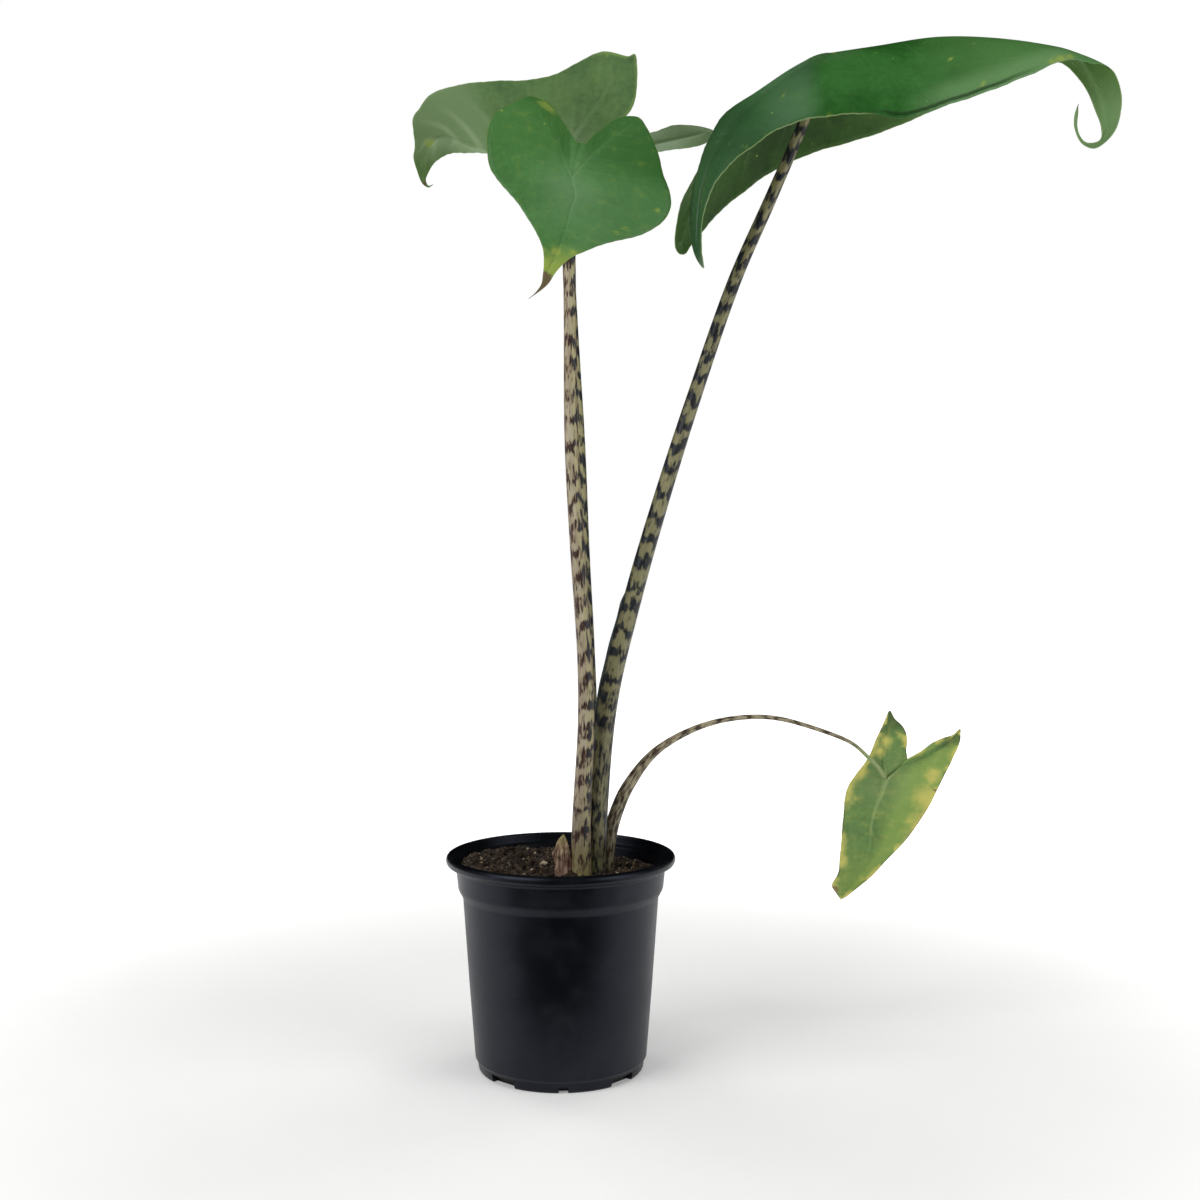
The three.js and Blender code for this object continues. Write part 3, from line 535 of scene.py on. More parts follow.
# %% The skeleton and the margin of one half
LAST_ROW = 0.55  # where the last row but one meets the way from the lobe to the notch
STEP = 1e-3
AROUND = 2  # directions are averaged over this many margin points on either side


def skeleton(leaf, side, q):
    """Places on the ribs of one half of a blade."""
    q = np.atleast_1d(np.asarray(q, float))
    joint, notch = np.array(leaf["midrib"][0], float), np.array(leaf["sinus"], float)
    rib = [leaf["midrib"][0], *leaf["lobes"][side]["rib"]]
    on_midrib = even(leaf["midrib"], np.clip(-q, 0, 1))
    on_rib = even(rib, np.clip(np.where(q <= 1, q, 2 - q), 0, 1))
    rear = joint + (notch - joint) * np.clip(q - 2, 0, 1)[:, None]
    return np.where(q[:, None] < 0, on_midrib, np.where(q[:, None] <= 2, on_rib, rear))


def margin(leaf, side):
    """The margin of one half, as positions q and points, from the tip round the lobe to the notch."""
    lobe = leaf["lobes"][side]
    stations = [(-1, leaf["midrib"][-1])]
    stations += [(-k, edges[side]) for k, *edges in leaf["stations"]]
    stations += [(k, outer) for k, outer, _ in lobe["stations"]]
    stations += [(1, end) for end in lobe["end"]]
    stations += [(2 - k, inner) for k, _, inner in reversed(lobe["stations"])]
    last, notch = np.array(stations[-1][1], float), np.array(leaf["sinus"], float)
    stations += [(2, last + LAST_ROW * (notch - last)), (3, notch)]
    return np.array([q for q, _ in stations], float), np.array([p for _, p in stations], float)


def upward(leaf, side, q, edge):
    """The way that the upper face looks at each of the margin's points."""
    past = np.where(q <= 1, np.minimum(q + STEP, 1), q + STEP)
    ahead, behind = skeleton(leaf, side, q - STEP), skeleton(leaf, side, past)
    inner = (q > 1) & (q < 2)
    ahead[q >= 2] = skeleton(leaf, side, q[q >= 2])
    along = unit(np.where(inner[:, None], -1, 1) * (ahead - behind))
    up = np.cross(along, unit(edge - skeleton(leaf, side, q)))
    up *= np.where(inner == (side == 0), -1, 1)[:, None]
    return unit(np.array([up[max(i - AROUND, 0):i + AROUND + 1].sum(axis=0) for i in range(len(up))]))


print("the large blade's margin has", len(margin(LARGE_LEAF, 0)[0]), "measured points on its left")

# %% [markdown]
# ## One half of a blade
# Side veins leave the ribs at the positions in VEINS and sweep towards the tip of the blade or the lobe. The
# blade swells a little between them, which catches the light as soft quilting, and its margin waves. The
# counting number of the vein, the distance to the ribs and the distance to the margin are kept at every
# corner of the mesh, and the blade's finish draws its veins and its pale margin from them.

# %% One half of a blade
ROWS, COLUMNS, CROWDING = 8, 27, 1.5
VEINS = [-0.93, -0.82, -0.7, -0.57, -0.44, -0.31, -0.18, -0.06,
         0.14, 0.34, 0.55, 0.78, 1.22, 1.45, 1.66, 1.86]
SWEEP, SWEEP_BEND = 0.13, 1.3
# Which way the veins sweep at positions q along the ribs: -1 to the blade's tip, 1 to the lobe's end
SWEPT_AT, SWEPT = [-1, -0.2, 0, 0.25, 0.8, 1, 1.2, 1.75, 2, 3], [-1, -1, 0, 1, 1, 0, -1, -1, 0, 0]
VEINS_APART = (2, 60)  # the least and greatest spacing of the veins, in millimetres
SLANT = 0.85  # veins that slant lie this much closer than their ends on the rib
SWELL, DIP, FULL_SWELL = 0.16, 0.17, 14
WAVE, WAVE_LENGTH, RIPPLE, RIPPLE_LENGTH = 0.3, 24, 0.6, 7.3
PLUMP = 0.8  # below one, a swelling is full over most of its width
WAVE_STARTS = 7  # a high power of the way across keeps the wave near the margin
BROAD = {"swell": 30, "wave": 25}  # where the blade is narrower than this, in millimetres, both fade


def half_blade(leaf, side):
    """Rows of points from the ribs to the margin, with what the finish needs to know at each."""
    q_at, edges = margin(leaf, side)
    ups = upward(leaf, side, q_at, edges)
    steps = len(q_at) - 1
    at = np.arange(steps * ROWS + 1) / ROWS
    q = np.interp(at, np.arange(steps + 1), q_at)
    root, edge = skeleton(leaf, side, q), curve(edges, at / steps)
    edge[0], edge[-1] = root[0], root[-1]
    up = unit(curve(ups, at / steps))
    length = np.linalg.norm(edge - root, axis=1)
    t = np.linspace(0, 1, COLUMNS) ** CROWDING

    # The number of the vein that each point lies on or between, and how far apart the veins are there
    left_rib = q[:, None] - SWEEP * np.interp(q, SWEPT_AT, SWEPT)[:, None] * t ** SWEEP_BEND
    count = np.interp(left_rib, VEINS, np.arange(len(VEINS)))
    flat = root[:, None] + (edge - root)[:, None] * t[None, :, None]
    step = np.linalg.norm(np.gradient(flat, axis=0), axis=2)
    apart = step / np.maximum(np.abs(np.gradient(count, axis=0)), 1e-4)
    apart = np.clip(SLANT * apart, *VEINS_APART)

    # The blade's arch, its quilting and the wave of its margin
    from_vein = np.abs(count - np.round(count))
    swell = SWELL * (1 - 2 * np.exp(-(from_vein / DIP) ** 2)) * np.minimum(1, FULL_SWELL / apart)
    swell *= np.sin(np.pi * t) ** PLUMP * np.minimum(1, length / BROAD["swell"])[:, None]
    walked = way(edge)
    ripple = np.sin(2 * np.pi * walked / WAVE_LENGTH + side)
    ripple = ripple + RIPPLE * np.sin(2 * np.pi * walked / RIPPLE_LENGTH + 2)
    wave = WAVE * ripple[:, None] * t ** WAVE_STARTS * np.minimum(1, length / BROAD["wave"])[:, None]
    rise = leaf["crown"][side] * length[:, None] * 4 * t * (1 - t) + swell + wave
    points = flat + up[:, None] * rise[:, :, None]
    grid = np.ones_like(rise)
    return {
        "points": points,
        "vein": np.dstack([count, apart, (1 - 2 * side) * t * grid]),
        "reach": np.dstack([t * length[:, None], (1 - t) * length[:, None], q[:, None] * grid]),
    }


print("half of the large blade has a grid of", half_blade(LARGE_LEAF, 0)["points"].shape[:2], "points")

# %% [markdown]
# ## The faces and the open edges of a blade
# Faces join the rows of points. Points that fall together, as those of both halves do along the midrib, are
# welded into one, so the halves hang together. The faces round a point say which way the skin looks there,
# and an edge that has one face alone belongs to the open margin, which the next step closes.

# %% The faces and the open edges of a blade
def woven(halves, weld):
    """The faces of both halves, as welded points and as the corners that they come from."""
    faces, sources, start = [], [], 0
    for side, half in enumerate(halves):
        rows, columns = half["points"].shape[:2]
        for i in range(rows - 1):
            for j in range(columns - 1):
                a = start + i * columns + j
                c = a + columns
                loop = (a, a + 1, c + 1, c) if side == 0 else (a, c, c + 1, a + 1)
                kept = [k for n, k in enumerate(loop) if weld[k] != weld[loop[n - 1]]]
                if len(kept) > 2:
                    faces.append([int(weld[k]) for k in kept])
                    sources.append(kept)
        start += rows * columns
    return faces, sources


def facing(points, faces, sources):
    """The way that the skin faces at each point, and the edges that belong to one face alone."""
    normals = np.zeros_like(points)
    open_edges = {}
    for face, source in zip(faces, sources):
        p = points[face]
        across = np.cross(p[2] - p[0], p[-1] - p[1]) if len(face) == 4 else np.cross(p[1] - p[0], p[2] - p[0])
        for n, k in enumerate(face):
            normals[k] += across
            ahead = face[(n + 1) % len(face)]
            if (ahead, k) in open_edges:
                del open_edges[ahead, k]
            else:
                open_edges[k, ahead] = (source[n], source[(n + 1) % len(face)])
    return unit(normals), open_edges


rows, columns = half_blade(FRONT_LEAF, 0)["points"].shape[:2]
print("half of the front blade has room for", (rows - 1) * (columns - 1), "faces")

# %% [markdown]
# ## A whole blade
# A real blade is 0.4 mm thick; this one is a little thicker so that it stays solid, and thins towards its
# margin. The ribs stand out of its underside and lie in a groove on its upper side. Each point moves out of
# the woven sheet to both sides, and a narrow rim closes the margin. Bump alone would not show the ribs in
# the outline.

# %% A whole blade
WELD = 0.002  # points closer than this, in millimetres, become one
HALF_THICK, THIN_MARGIN, THINS = 0.35, 0.13, 5
RIB_WIDTH, GROOVE, GROOVE_WIDTH = 1.3, 0.35, 1.4
JOINT_REACH = 32
TIP_TAPER, LOBE_TAPER = 0.9, 0.85
SPOT_CORE, SPOT_FADE = 1.25, 0.75


def rib_height(leaf, q):
    """How far the ribs stand out of the underside, in millimetres."""
    tapers = [1 + TIP_TAPER * q, 1 - LOBE_TAPER * q, 1 - LOBE_TAPER * (2 - q)]
    return leaf["ridge"] * np.select([q < 0, q <= 1, q <= 2], tapers, 3 - q)


def store(mesh, name, kind, domain, values):
    """Keeps numbers on a mesh under a name, for its material to read."""
    layer = mesh.attributes.new(name, kind, domain)
    field = "vector" if kind == "FLOAT_VECTOR" else "value"
    layer.data.foreach_set(field, np.asarray(values, np.float32).ravel())


def blade_mesh(leaf, spots):
    """Both halves welded along the ribs, as a closed solid with its upper face and its underside."""
    halves = [half_blade(leaf, side) for side in (0, 1)]
    everything = {key: np.concatenate([h[key].reshape(-1, 3) for h in halves]) for key in halves[0]}
    keys = np.round(everything["points"] / WELD).astype(int)
    _, first, weld = np.unique(keys, axis=0, return_index=True, return_inverse=True)
    points, reach = everything["points"][first], everything["reach"][first]
    faces, sources = woven(halves, weld.ravel())
    normals, open_edges = facing(points, faces, sources)

    from_rib, from_margin, q = reach.T
    length = np.maximum(from_rib + from_margin, 1e-6)
    half = HALF_THICK + (THIN_MARGIN - HALF_THICK) * (from_rib / length) ** THINS
    across = np.clip(from_rib / (RIB_WIDTH * leaf["ridge"]), 0, 1)
    rib = rib_height(leaf, q) * (1 - across ** 2) ** 1.2
    groove = GROOVE * np.exp(-(from_rib / GROOVE_WIDTH) ** 2)
    top = points + normals * (half - groove)[:, None]
    under = points - normals * (half + rib)[:, None]

    count = len(points)
    loops = [(face, source, 0) for face, source in zip(faces, sources)]
    loops += [([k + count for k in reversed(face)], source[::-1], 1) for face, source in zip(faces, sources)]
    loops += [([b, a, a + count, b + count], [sb, sa, sa, sb], 0) for (a, b), (sa, sb) in open_edges.items()]
    mesh = bpy.data.meshes.new("blade")
    mesh.from_pydata(np.concatenate([top, under]) * MM, [], [face for face, _, _ in loops])
    corner = np.array([k for _, source, _ in loops for k in source])
    for key in ("vein", "reach"):
        store(mesh, key, "FLOAT_VECTOR", "CORNER", everything[key][corner])
    for key, places in {"near_joint": [(leaf["midrib"][0], JOINT_REACH)], **spots}.items():
        tint = np.zeros(count)
        for centre, radius in places:
            away = np.linalg.norm(points - np.array(centre, float), axis=1) / radius
            tint = np.maximum(tint, np.clip(SPOT_CORE - SPOT_FADE * away, 0, 1))
        store(mesh, key, "FLOAT", "POINT", np.concatenate([tint, tint]))
    mesh.polygons.foreach_set("material_index", [side for _, _, side in loops])
    mesh.shade_smooth()
    mesh.update()
    return mesh


print("blades are", 2 * HALF_THICK, "mm thick and", 2 * THIN_MARGIN, "mm at their margin")

# %% [markdown]
# ## The blades' finish
# A living leaf is a waxed skin over green flesh. The wax gives a soft gloss, tighter on the glossy blade
# than on the satin ones. Under it the green drifts from place to place, pale veins branch from the joint,
# and a fine net of small veins dents the skin. The underside is duller, paler and has its ribs raised.
# Old blades yellow in patches from the margin inwards and dry to brown at the tip, so two painted-on
# values, yellow and brown, fade in with a ragged edge.

# %% The blades' finish
NET, FLECK = 3.2, 9.0  # cells of the vein net and of the flecks, in millimetres
DRIFT, MOTTLE, TEAR, ROLL, WOBBLE = 38, 3.5, 5.5, 16, 11  # cells of the noises
FLECK_TONE, ROLLED_MARGIN_SHADOW_TONE = "#a3b14d", "#142d12"
WAX_IOR = 1.45
RIB_NARROWS = 3.2
VEIN_HIGH, NET_LINE, NET_DEEP, CREASE_DEEP = 0.3, 0.12, 0.03, 0.6  # in millimetres
MARGIN_SHADOW_SHOWS = 0.75
# Where the rolled margin of the large blade creases and takes a painted shadow, as values with the
# places of start and full
ROLLED_CREASE_AND_SHADOW = [("margin", 1.2, 2.6), ("margin", 5.2, 3.2), ("along", -0.08, -0.14), ("along", -0.5, -0.36),
          ("across", 0.0, -0.1)]


def blade_skin(name, look, under):
    """Leaf skin. look holds its colours, its gloss and the strength of its veins."""
    made, tree, shader = material(name, Specular_IOR_Level=look["specular"], IOR=WAX_IOR)
    mm = millimetres(tree)
    stored = {}
    for key in ("vein", "reach", "near_joint", "yellow", "brown"):
        stored[key] = add(tree, "ShaderNodeAttribute", attribute_name=key).outputs
    count, apart, across = add(tree, "ShaderNodeSeparateXYZ", {0: stored["vein"]["Vector"]}).outputs
    from_rib, from_margin, along = add(tree, "ShaderNodeSeparateXYZ", {0: stored["reach"]["Vector"]}).outputs
    away = add(tree, "ShaderNodeMath", {0: along, 1: 1.0}, operation="PINGPONG")
    lobed = add(tree, "ShaderNodeMath", {0: along, 1: 0.0}, operation="GREATER_THAN")
    out = add(tree, "ShaderNodeMath", {0: across}, operation="ABSOLUTE")
    from_vein = add(tree, "ShaderNodeMath", {0: count, 1: 0.5}, operation="PINGPONG")
    vein_mm = weighed(tree, [(from_vein, apart)])
    side_vein = area(tree, (vein_mm, look["vein_width"], 0.2), (out, 1.0, 0.1))
    where = {"across": across, "along": along, "margin": from_margin, "rib": from_rib, "vein": side_vein,
             "lobe": weighed(tree, [(lobed, away)])}

    def inside(edges):
        """Edges by the names of their values."""
        return [(where[key], start, full) for key, start, full in edges]

    # Broad drift and small mottling of the green, then the tones of one half, the lobes or the tip, some
    # of which are painted shade and painted sheen
    drift = cloud(tree, mm, DRIFT, DRIFT, 4)
    colour = coated(tree, look["deep"], look["fresh"], (drift, 0.36, 0.64))
    colour = mottled(tree, colour, cloud(tree, mm, MOTTLE, MOTTLE, 3), 0.88, 1.12)
    for tone, most, *edges in look["tones"]:
        colour = coated(tree, colour, tone, *inside(edges), most=most)

    # The side veins and the ribs, which narrow, and fade in the lobes
    narrow = add(tree, "ShaderNodeMapRange", {"Value": away, "From Min": 0, "From Max": 1,
                                              "To Min": 1, "To Max": RIB_NARROWS})
    rib_mm = weighed(tree, [(from_rib, narrow)])
    rib = area(tree, (rib_mm, 1.25 * look["rib_width"], 0.45 * look["rib_width"]),
               (away, look["rib_end"], 0.0), (where["lobe"], look["lobe_end"], 0.0), most=look["ribs"])
    veil = area(tree, (stored["near_joint"]["Fac"], 0.5, 1.15), most=look["joint"])
    for share in (weighed(tree, [(side_vein, look["veins"])]), rib, veil):
        colour = coated(tree, colour, look["vein"], most=share)

    # Pale flecks, a millimetre or two across, in scattered cells
    cells = add(tree, "ShaderNodeTexVoronoi", {"Vector": mm, "Scale": 1 / FLECK, "Randomness": 1.0})
    chosen = add(tree, "ShaderNodeSeparateXYZ", {0: cells.outputs["Color"]}).outputs["X"]
    colour = coated(tree, colour, FLECK_TONE, (chosen, 1 - look["flecks"], 1.001 - look["flecks"]),
                    (cells.outputs["Distance"], 0.11, 0.04), most=0.5)

    # A pale line on the margin, then yellow and brown patches with ragged edges
    line = (from_margin, look["edge_width"], 0.5 * look["edge_width"])
    colour = coated(tree, colour, look["margin"], line, (along, look["edge_from"] - 0.05, look["edge_from"]),
                    most=look["edge"])
    rim = area(tree, (from_margin, look["rim"], -1.0), (cloud(tree, mm, ROLL, ROLL, 2), 0.44, 0.54))
    yellow = add(tree, "ShaderNodeMath", {0: stored["yellow"]["Fac"], 1: rim}, operation="MAXIMUM")
    ragged = cloud(tree, mm, TEAR, TEAR, 5)
    for key, patch, soft, most in (("yellow", yellow, look["soft"], look["yellowed"]),
                                   ("brown", stored["brown"]["Fac"], 0.2, 1.0)):
        torn = weighed(tree, [(ragged, 1.5)], patch)
        colour = coated(tree, colour, look[key], (torn, 1.3 - soft, 1.3 + soft), most=most)

    # The crease of a rolled margin, dented and darkened by a painted shadow,
    # and gloss that varies as the wax does
    crease = area(tree, *inside(ROLLED_CREASE_AND_SHADOW), most=look["crease"])
    # Painted shadow: the rolled margin's crease is darker
    colour = coated(tree, colour, ROLLED_MARGIN_SHADOW_TONE, most=weighed(tree, [(crease, MARGIN_SHADOW_SHOWS)]))
    gloss = add(tree, "ShaderNodeMapRange", {
        "Value": drift, "From Min": NOISE_LOW, "From Max": NOISE_HIGH,
        "To Min": look["rough"] - 0.05, "To Max": look["rough"] + 0.07})

    # Relief in millimetres: the side veins, the net of small veins, a slow unevenness and the crease
    net = add(tree, "ShaderNodeTexVoronoi", {"Vector": mm, "Scale": 1 / NET}, feature="DISTANCE_TO_EDGE")
    sign = 1 if under else -1
    height = weighed(tree, [(side_vein, VEIN_HIGH * sign * look["relief"]),
                            (area(tree, (net, NET_LINE, 0)), NET_DEEP * sign),
                            (cloud(tree, mm, WOBBLE, WOBBLE, 3), look["uneven"]), (crease, -CREASE_DEEP)])
    bump = add(tree, "ShaderNodeBump", {"Strength": 1.0, "Distance": MM, "Height": height})
    joined(tree, shader, Base_Color=colour, Roughness=gloss, Normal=bump)
    return made


print("the vein net has meshes of", NET, "mm, and flecks lie about", FLECK, "mm apart")

# %% [markdown]
# ## The two sides of a blade
# The upper side is darker and glossier, with fine pale veins. The underside is duller and has broad raised
# ones. The values below hold for all four blades, unless a blade has its own.

# %% The two sides of a blade
UPPER = {"vein": "#6f9068", "vein_width": 0.8, "veins": 0.08, "rib_width": 1.1, "ribs": 0.4, "rib_end": 1.0,
         "lobe_end": 0.7, "joint": 0.15, "flecks": 0.02, "margin": "#7f9650", "edge": 0.35,
         "edge_width": 0.6, "edge_from": -2.0, "rim": 0.0, "yellow": "#8c9e46", "yellowed": 0.7,
         # crease: how strongly a rolled margin is dented and darkened by a painted shadow
         "soft": 0.4, "brown": "#5f5439", "rough": 0.4, "uneven": 0.3, "relief": 0.6, "crease": 0.0,
         "specular": 0.25, "tones": []}
UNDER = {**UPPER, "vein": "#849a74", "vein_width": 1.6, "veins": 0.12, "rib_width": 2.2, "ribs": 0.5,
         "joint": 0.3, "rough": 0.5, "relief": 1.0, "specular": 0.2}
print("each side has", len(UPPER), "values that a blade may change")

# %% [markdown]
# ## The four blades
# The large blade is dark and glossy, the front one satin green, the rear one shows its olive underside and
# the small hanging one is old and yellowing. Each has its own table, its own yellow and brown spots, given
# as places and radii in millimetres, and only those values of its two skins that differ from the rest. Its
# tones are coats: a colour, how much of it shows at most, and the values that bound it. On the front and
# the large blade some tones are painted shade and painted sheen.

# %% The four blades
BLADES = {
    "leaf_front": {
        "table": FRONT_LEAF, "slot": "blade_green",
        "yellow": [((-7.9, -21, 632.7), 6), ((0, -76, 530.5), 3), ((-8, -81, 521.5), 4),
                   ((-9, -78.3, 531), 2), ((9, -74, 530), 2.5), ((36.8, -60.6, 544.5), 1.2),
                   ((41.8, -57.9, 547.5), 1.2), ((62.7, -46.5, 561.4), 1.5)],
        "brown": [((-8, -82, 514), 4), ((-7.2, -83.3, 511.5), 6), ((-13, -84, 504), 8)],
        "upper": {**UPPER, "deep": "#3b6833", "fresh": "#46733d", "ribs": 0.35, "soft": 0.55,
                  # Tones: both lobes darker, as painted shade; the right half of the body and a band along
                  # the midrib greyer and lighter, as painted sheen; the tip yellow-green
                  "tones": [("#305a28", 0.75, ("lobe", 0.0, 0.5), ("across", -0.15, 0.15)),
                            ("#3b692f", 0.6, ("lobe", 0.0, 0.5), ("across", 0.15, -0.15)),
                            ("#50774a", 0.5, ("across", 0.15, 0.6), ("along", 0.4, -0.1)),
                            ("#5b8055", 0.55, ("rib", 36, 1), ("along", 0.12, -0.1),
                             ("along", -0.55, -0.2)),
                            ("#8c9e46", 0.85, ("along", -0.52, -0.78))]},
        "under": {**UNDER, "deep": "#4f6f42", "fresh": "#64834f"},
    },
    "leaf_rear": {
        "table": REAR_LEAF, "slot": "blade_olive",
        "yellow": [((-91, 45.6, 625.1), 3.5), ((39.5, 13.5, 677), 2), ((30.9, 14.5, 676), 1.5),
                   ((47.5, 14.7, 677), 1.5)],
        "brown": [((51, 18, 673), 1.5), ((-94, 42, 596), 2)],
        "upper": {**UPPER, "deep": "#3c6534", "fresh": "#4d7842"},
        "under": {**UNDER, "deep": "#4e6d40", "fresh": "#5b7a47", "vein_width": 4.5, "ribs": 0.2,
                  "veins": 0.05,
                  "tones": [("#6f885e", 0.85, ("along", -0.3, -0.42)),
                            ("#9db18d", 0.3, ("vein", 0, 1), ("along", -0.25, -0.45)),
                            ("#7f9c50", 0.5, ("margin", 3, 0.5), ("across", 0, 0.05), ("lobe", 0.3, 0.6)),
                            ("#56723c", 0.85, ("along", -0.74, -0.86)),
                            ("#677f56", 0.85, ("across", 0.02, -0.05), ("lobe", 0.3, 0.6))]},
    },
    "leaf_large": {
        "table": LARGE_LEAF, "slot": "blade_dark",
        "yellow": [((180.3, 2.6, 673.5), 1.4), ((154.6, -38.2, 632.2), 1.4), ((153.7, -40.5, 628), 1.2),
                   ((162.2, -45.7, 620.7), 1.4), ((170.4, -45.5, 620.1), 1.6), ((208.7, -36.4, 630.6), 1.6),
                   ((252.5, -16.9, 663.1), 1.2), ((235, -24, 652.2), 1), ((236.1, -0.9, 677.7), 1),
                   ((142.8, -30.4, 637), 1.2), ((117.1, -48.3, 600.4), 1.2), ((131.7, -48.6, 608.8), 1.2),
                   ((270.9, -27.6, 645.5), 1.8), ((322.7, -17.7, 663.5), 4), ((317, -19.9, 661), 3),
                   ((330, -14.7, 666.3), 3)],
        "brown": [((337, -10, 637), 4)],
        "upper": {**UPPER, "deep": "#22501d", "fresh": "#2f6229", "rough": 0.3, "margin": "#8ba066",
                  "edge": 0.6, "edge_width": 0.9, "edge_from": -0.06, "flecks": 0.07,
                  # crease: the rolled margin is dented and darkened by a painted shadow
                  "specular": 0.3, "uneven": 0.5, "crease": 1.0, "veins": 0.05, "ribs": 0.25,
                  # Tones: lighter towards the tip, a band near the margin and a patch by the lobes' fold, all
                  # three painted sheen; the lobes darker and greyer
                  "tones": [("#4c7840", 0.85, ("along", -0.14, -0.45)),
                            ("#6b8f60", 0.5, ("margin", 22, 7), ("along", -0.15, -0.28),
                             ("along", -0.7, -0.5)),
                            ("#304d31", 0.8, ("lobe", 0.15, 0.5)),
                            ("#4d6c4e", 0.6, ("lobe", 0.02, 0.14), ("lobe", 0.45, 0.2))]},
        "under": {**UNDER, "deep": "#243f14", "fresh": "#30501c", "margin": "#9fb07a", "edge": 0.5,
                  "ribs": 0.35, "joint": 0.2,
                  "tones": [("#4b7030", 0.8, ("along", -0.03, -0.35)),
                            ("#6c8b5b", 0.8, ("along", -0.62, -0.8))]},
    },
    "leaf_hanging": {
        "table": HANGING_LEAF, "slot": "blade_yellowing",
        "yellow": [((230.3, 72.9, 209), 4), ((226.2, 73.8, 201.7), 3.5), ((213.1, 71.6, 188.4), 4),
                   ((202, 69, 170), 6), ((262.7, 66.3, 185.7), 5), ((259, 67.1, 169.1), 8),
                   ((253, 66.7, 149.8), 7), ((246, 66.8, 135.4), 5), ((198, 66, 125), 4)],
        "brown": [((268.5, 64.5, 180.9), 1.2), ((264.3, 65.6, 175.8), 1.2), ((253, 67.2, 151.5), 1),
                  ((196.5, 66, 162), 1.5), ((196.5, 66, 152), 1.5), ((192, 60.5, 105.3), 3),
                  ((191, 59.7, 101.2), 3), ((281, 59, 220), 2.5)],
        "upper": {**UPPER, "deep": "#5a7c44", "fresh": "#6b8a4c", "rim": 10.0},
        "under": {**UNDER, "deep": "#5b7b47", "fresh": "#69894c", "vein": "#93a86e", "yellow": "#d0c86c",
                  "yellowed": 0.85, "soft": 0.6, "rim": 8.0, "margin": "#4f4d2b", "edge": 0.7,
                  "edge_width": 1.1, "ribs": 0.8, "rib_width": 2.5, "rib_end": 0.8, "lobe_end": 0.35,
                  "veins": 0.05, "brown": "#84724c",
                  "tones": [("#87a355", 0.9, ("across", -0.06, -0.5)),
                            ("#82994e", 0.6, ("along", -0.5, -0.85)),
                            ("#c0a878", 0.7, ("margin", 3.5, 1), ("across", 0.0, -0.05),
                             ("along", -0.1, -0.2), ("along", -0.6, -0.4)),
                            ("#4c6138", 0.75, ("lobe", 0.7, 0.97))]},
    },
}
for name, blade in BLADES.items():
    mesh = blade_mesh(blade["table"], {key: blade[key] for key in ("yellow", "brown")})
    mesh.materials.append(blade_skin(name + "_waxed_upper_skin", blade["upper"], False))
    mesh.materials.append(blade_skin(name + "_dull_under_skin", blade["under"], True))
    finished(name + "_blade", mesh, name)

# %% [markdown]
# ## The stalks' measured points
# Each stalk is a fleshy round leaf stalk, thick where it leaves the soil and slender under its blade. Its
# table gives points of its middle line with the radius at each. The path then becomes a chain of points
# that carries its radius, and Geometry Nodes grow the skin along it.

# %% The stalks' measured points
FRONT_STALK = [
    (13.5, -3, 104, 6), (13.5, -5, 129.5, 7.2), (14, -6, 170, 6.2), (17, -10, 232, 5.6),
    (16.2, -13, 278, 5.1), (11.6, -20, 348, 4.9), (8, -28, 415, 4.6), (7.2, -36, 490, 4.1),
    (7, -42, 545, 3.8), (8.5, -45, 581.5, 3.4),
]
REAR_STALK = [
    (16, 7, 104, 5.5), (15.5, 8.5, 127, 6), (15.5, 10, 168, 5.7), (19, 14, 229, 5.3), (17.5, 18, 283, 5),
    (14.6, 24, 341, 4.8), (11.5, 31, 419, 4.6), (6.5, 39, 504, 4.4), (3, 45, 586, 3.8),
    (3, 47.5, 621, 3.3),
]
LARGE_STALK = [
    (21, 4, 102, 6.5), (22.5, 4, 127, 7.5), (24.5, 4, 176, 7.2), (31.6, 4, 246, 6.7), (48.7, 5, 317, 6.1),
    (67.5, 6, 382, 5.5), (90.2, 6.5, 453, 4.8), (115.7, 7, 526, 4.4), (139, 8, 579, 4.1),
    (161, 8, 630, 3.6), (178, 6, 674, 3.1),
]
HANGING_STALK = [
    (27, 8, 98, 4), (30.5, 10.5, 127, 4.4), (33.5, 13, 156, 4.7), (38.5, 16.5, 172, 4.6),
    (46, 20, 187, 4.3), (65, 30, 208.7, 3.4), (102, 44, 225.7, 2.7), (144, 54, 229, 2.3),
    (186, 60, 217.6, 2.1), (205, 61, 209.2, 1.9), (215, 61, 200.4, 1.8), (223, 64.5, 192.5, 1.9),
    (230, 71, 182, 1.9),
]
DRIED_SHEATH = [
    (3, -6, 112, 4.5), (2, -7, 128, 5.2), (1.6, -7, 138, 5.1), (1, -6.8, 146, 5.2),
    (1.2, -6.4, 152.5, 3.2), (1.9, -6, 157.5, 0.6),
]
for table in (FRONT_STALK, REAR_STALK, LARGE_STALK, HANGING_STALK, DRIED_SHEATH):
    print("a path with", len(table), "points, from", table[0][2], "to", table[-1][2], "mm up")

# %% [markdown]
# ## Growing a skin along a path
# A tube along a path is what Geometry Nodes do best: the tree turns the chain of points into a curve,
# sweeps a circle along it and rounds its end off, where the stalk runs into the blade's ribs. The tree also
# stores where each point lies on the straightened skin: its place round the stalk and its way along it, in
# millimetres. The zebra bands are drawn in that straight space, so they follow every bend without a seam.

# %% Growing a skin along a path
def rule(name, inputs, result):
    """A new Geometry Nodes tree with named inputs and one result, and the sockets that bring the inputs."""
    tree = bpy.data.node_groups.new(name, "GeometryNodeTree")
    for label, kind, value in inputs:
        socket = tree.interface.new_socket(label, in_out="INPUT", socket_type="NodeSocket" + kind)
        if value is not None:
            socket.default_value = value
    tree.interface.new_socket(result, in_out="OUTPUT", socket_type="NodeSocketGeometry")
    return tree, add(tree, "NodeGroupInput").outputs


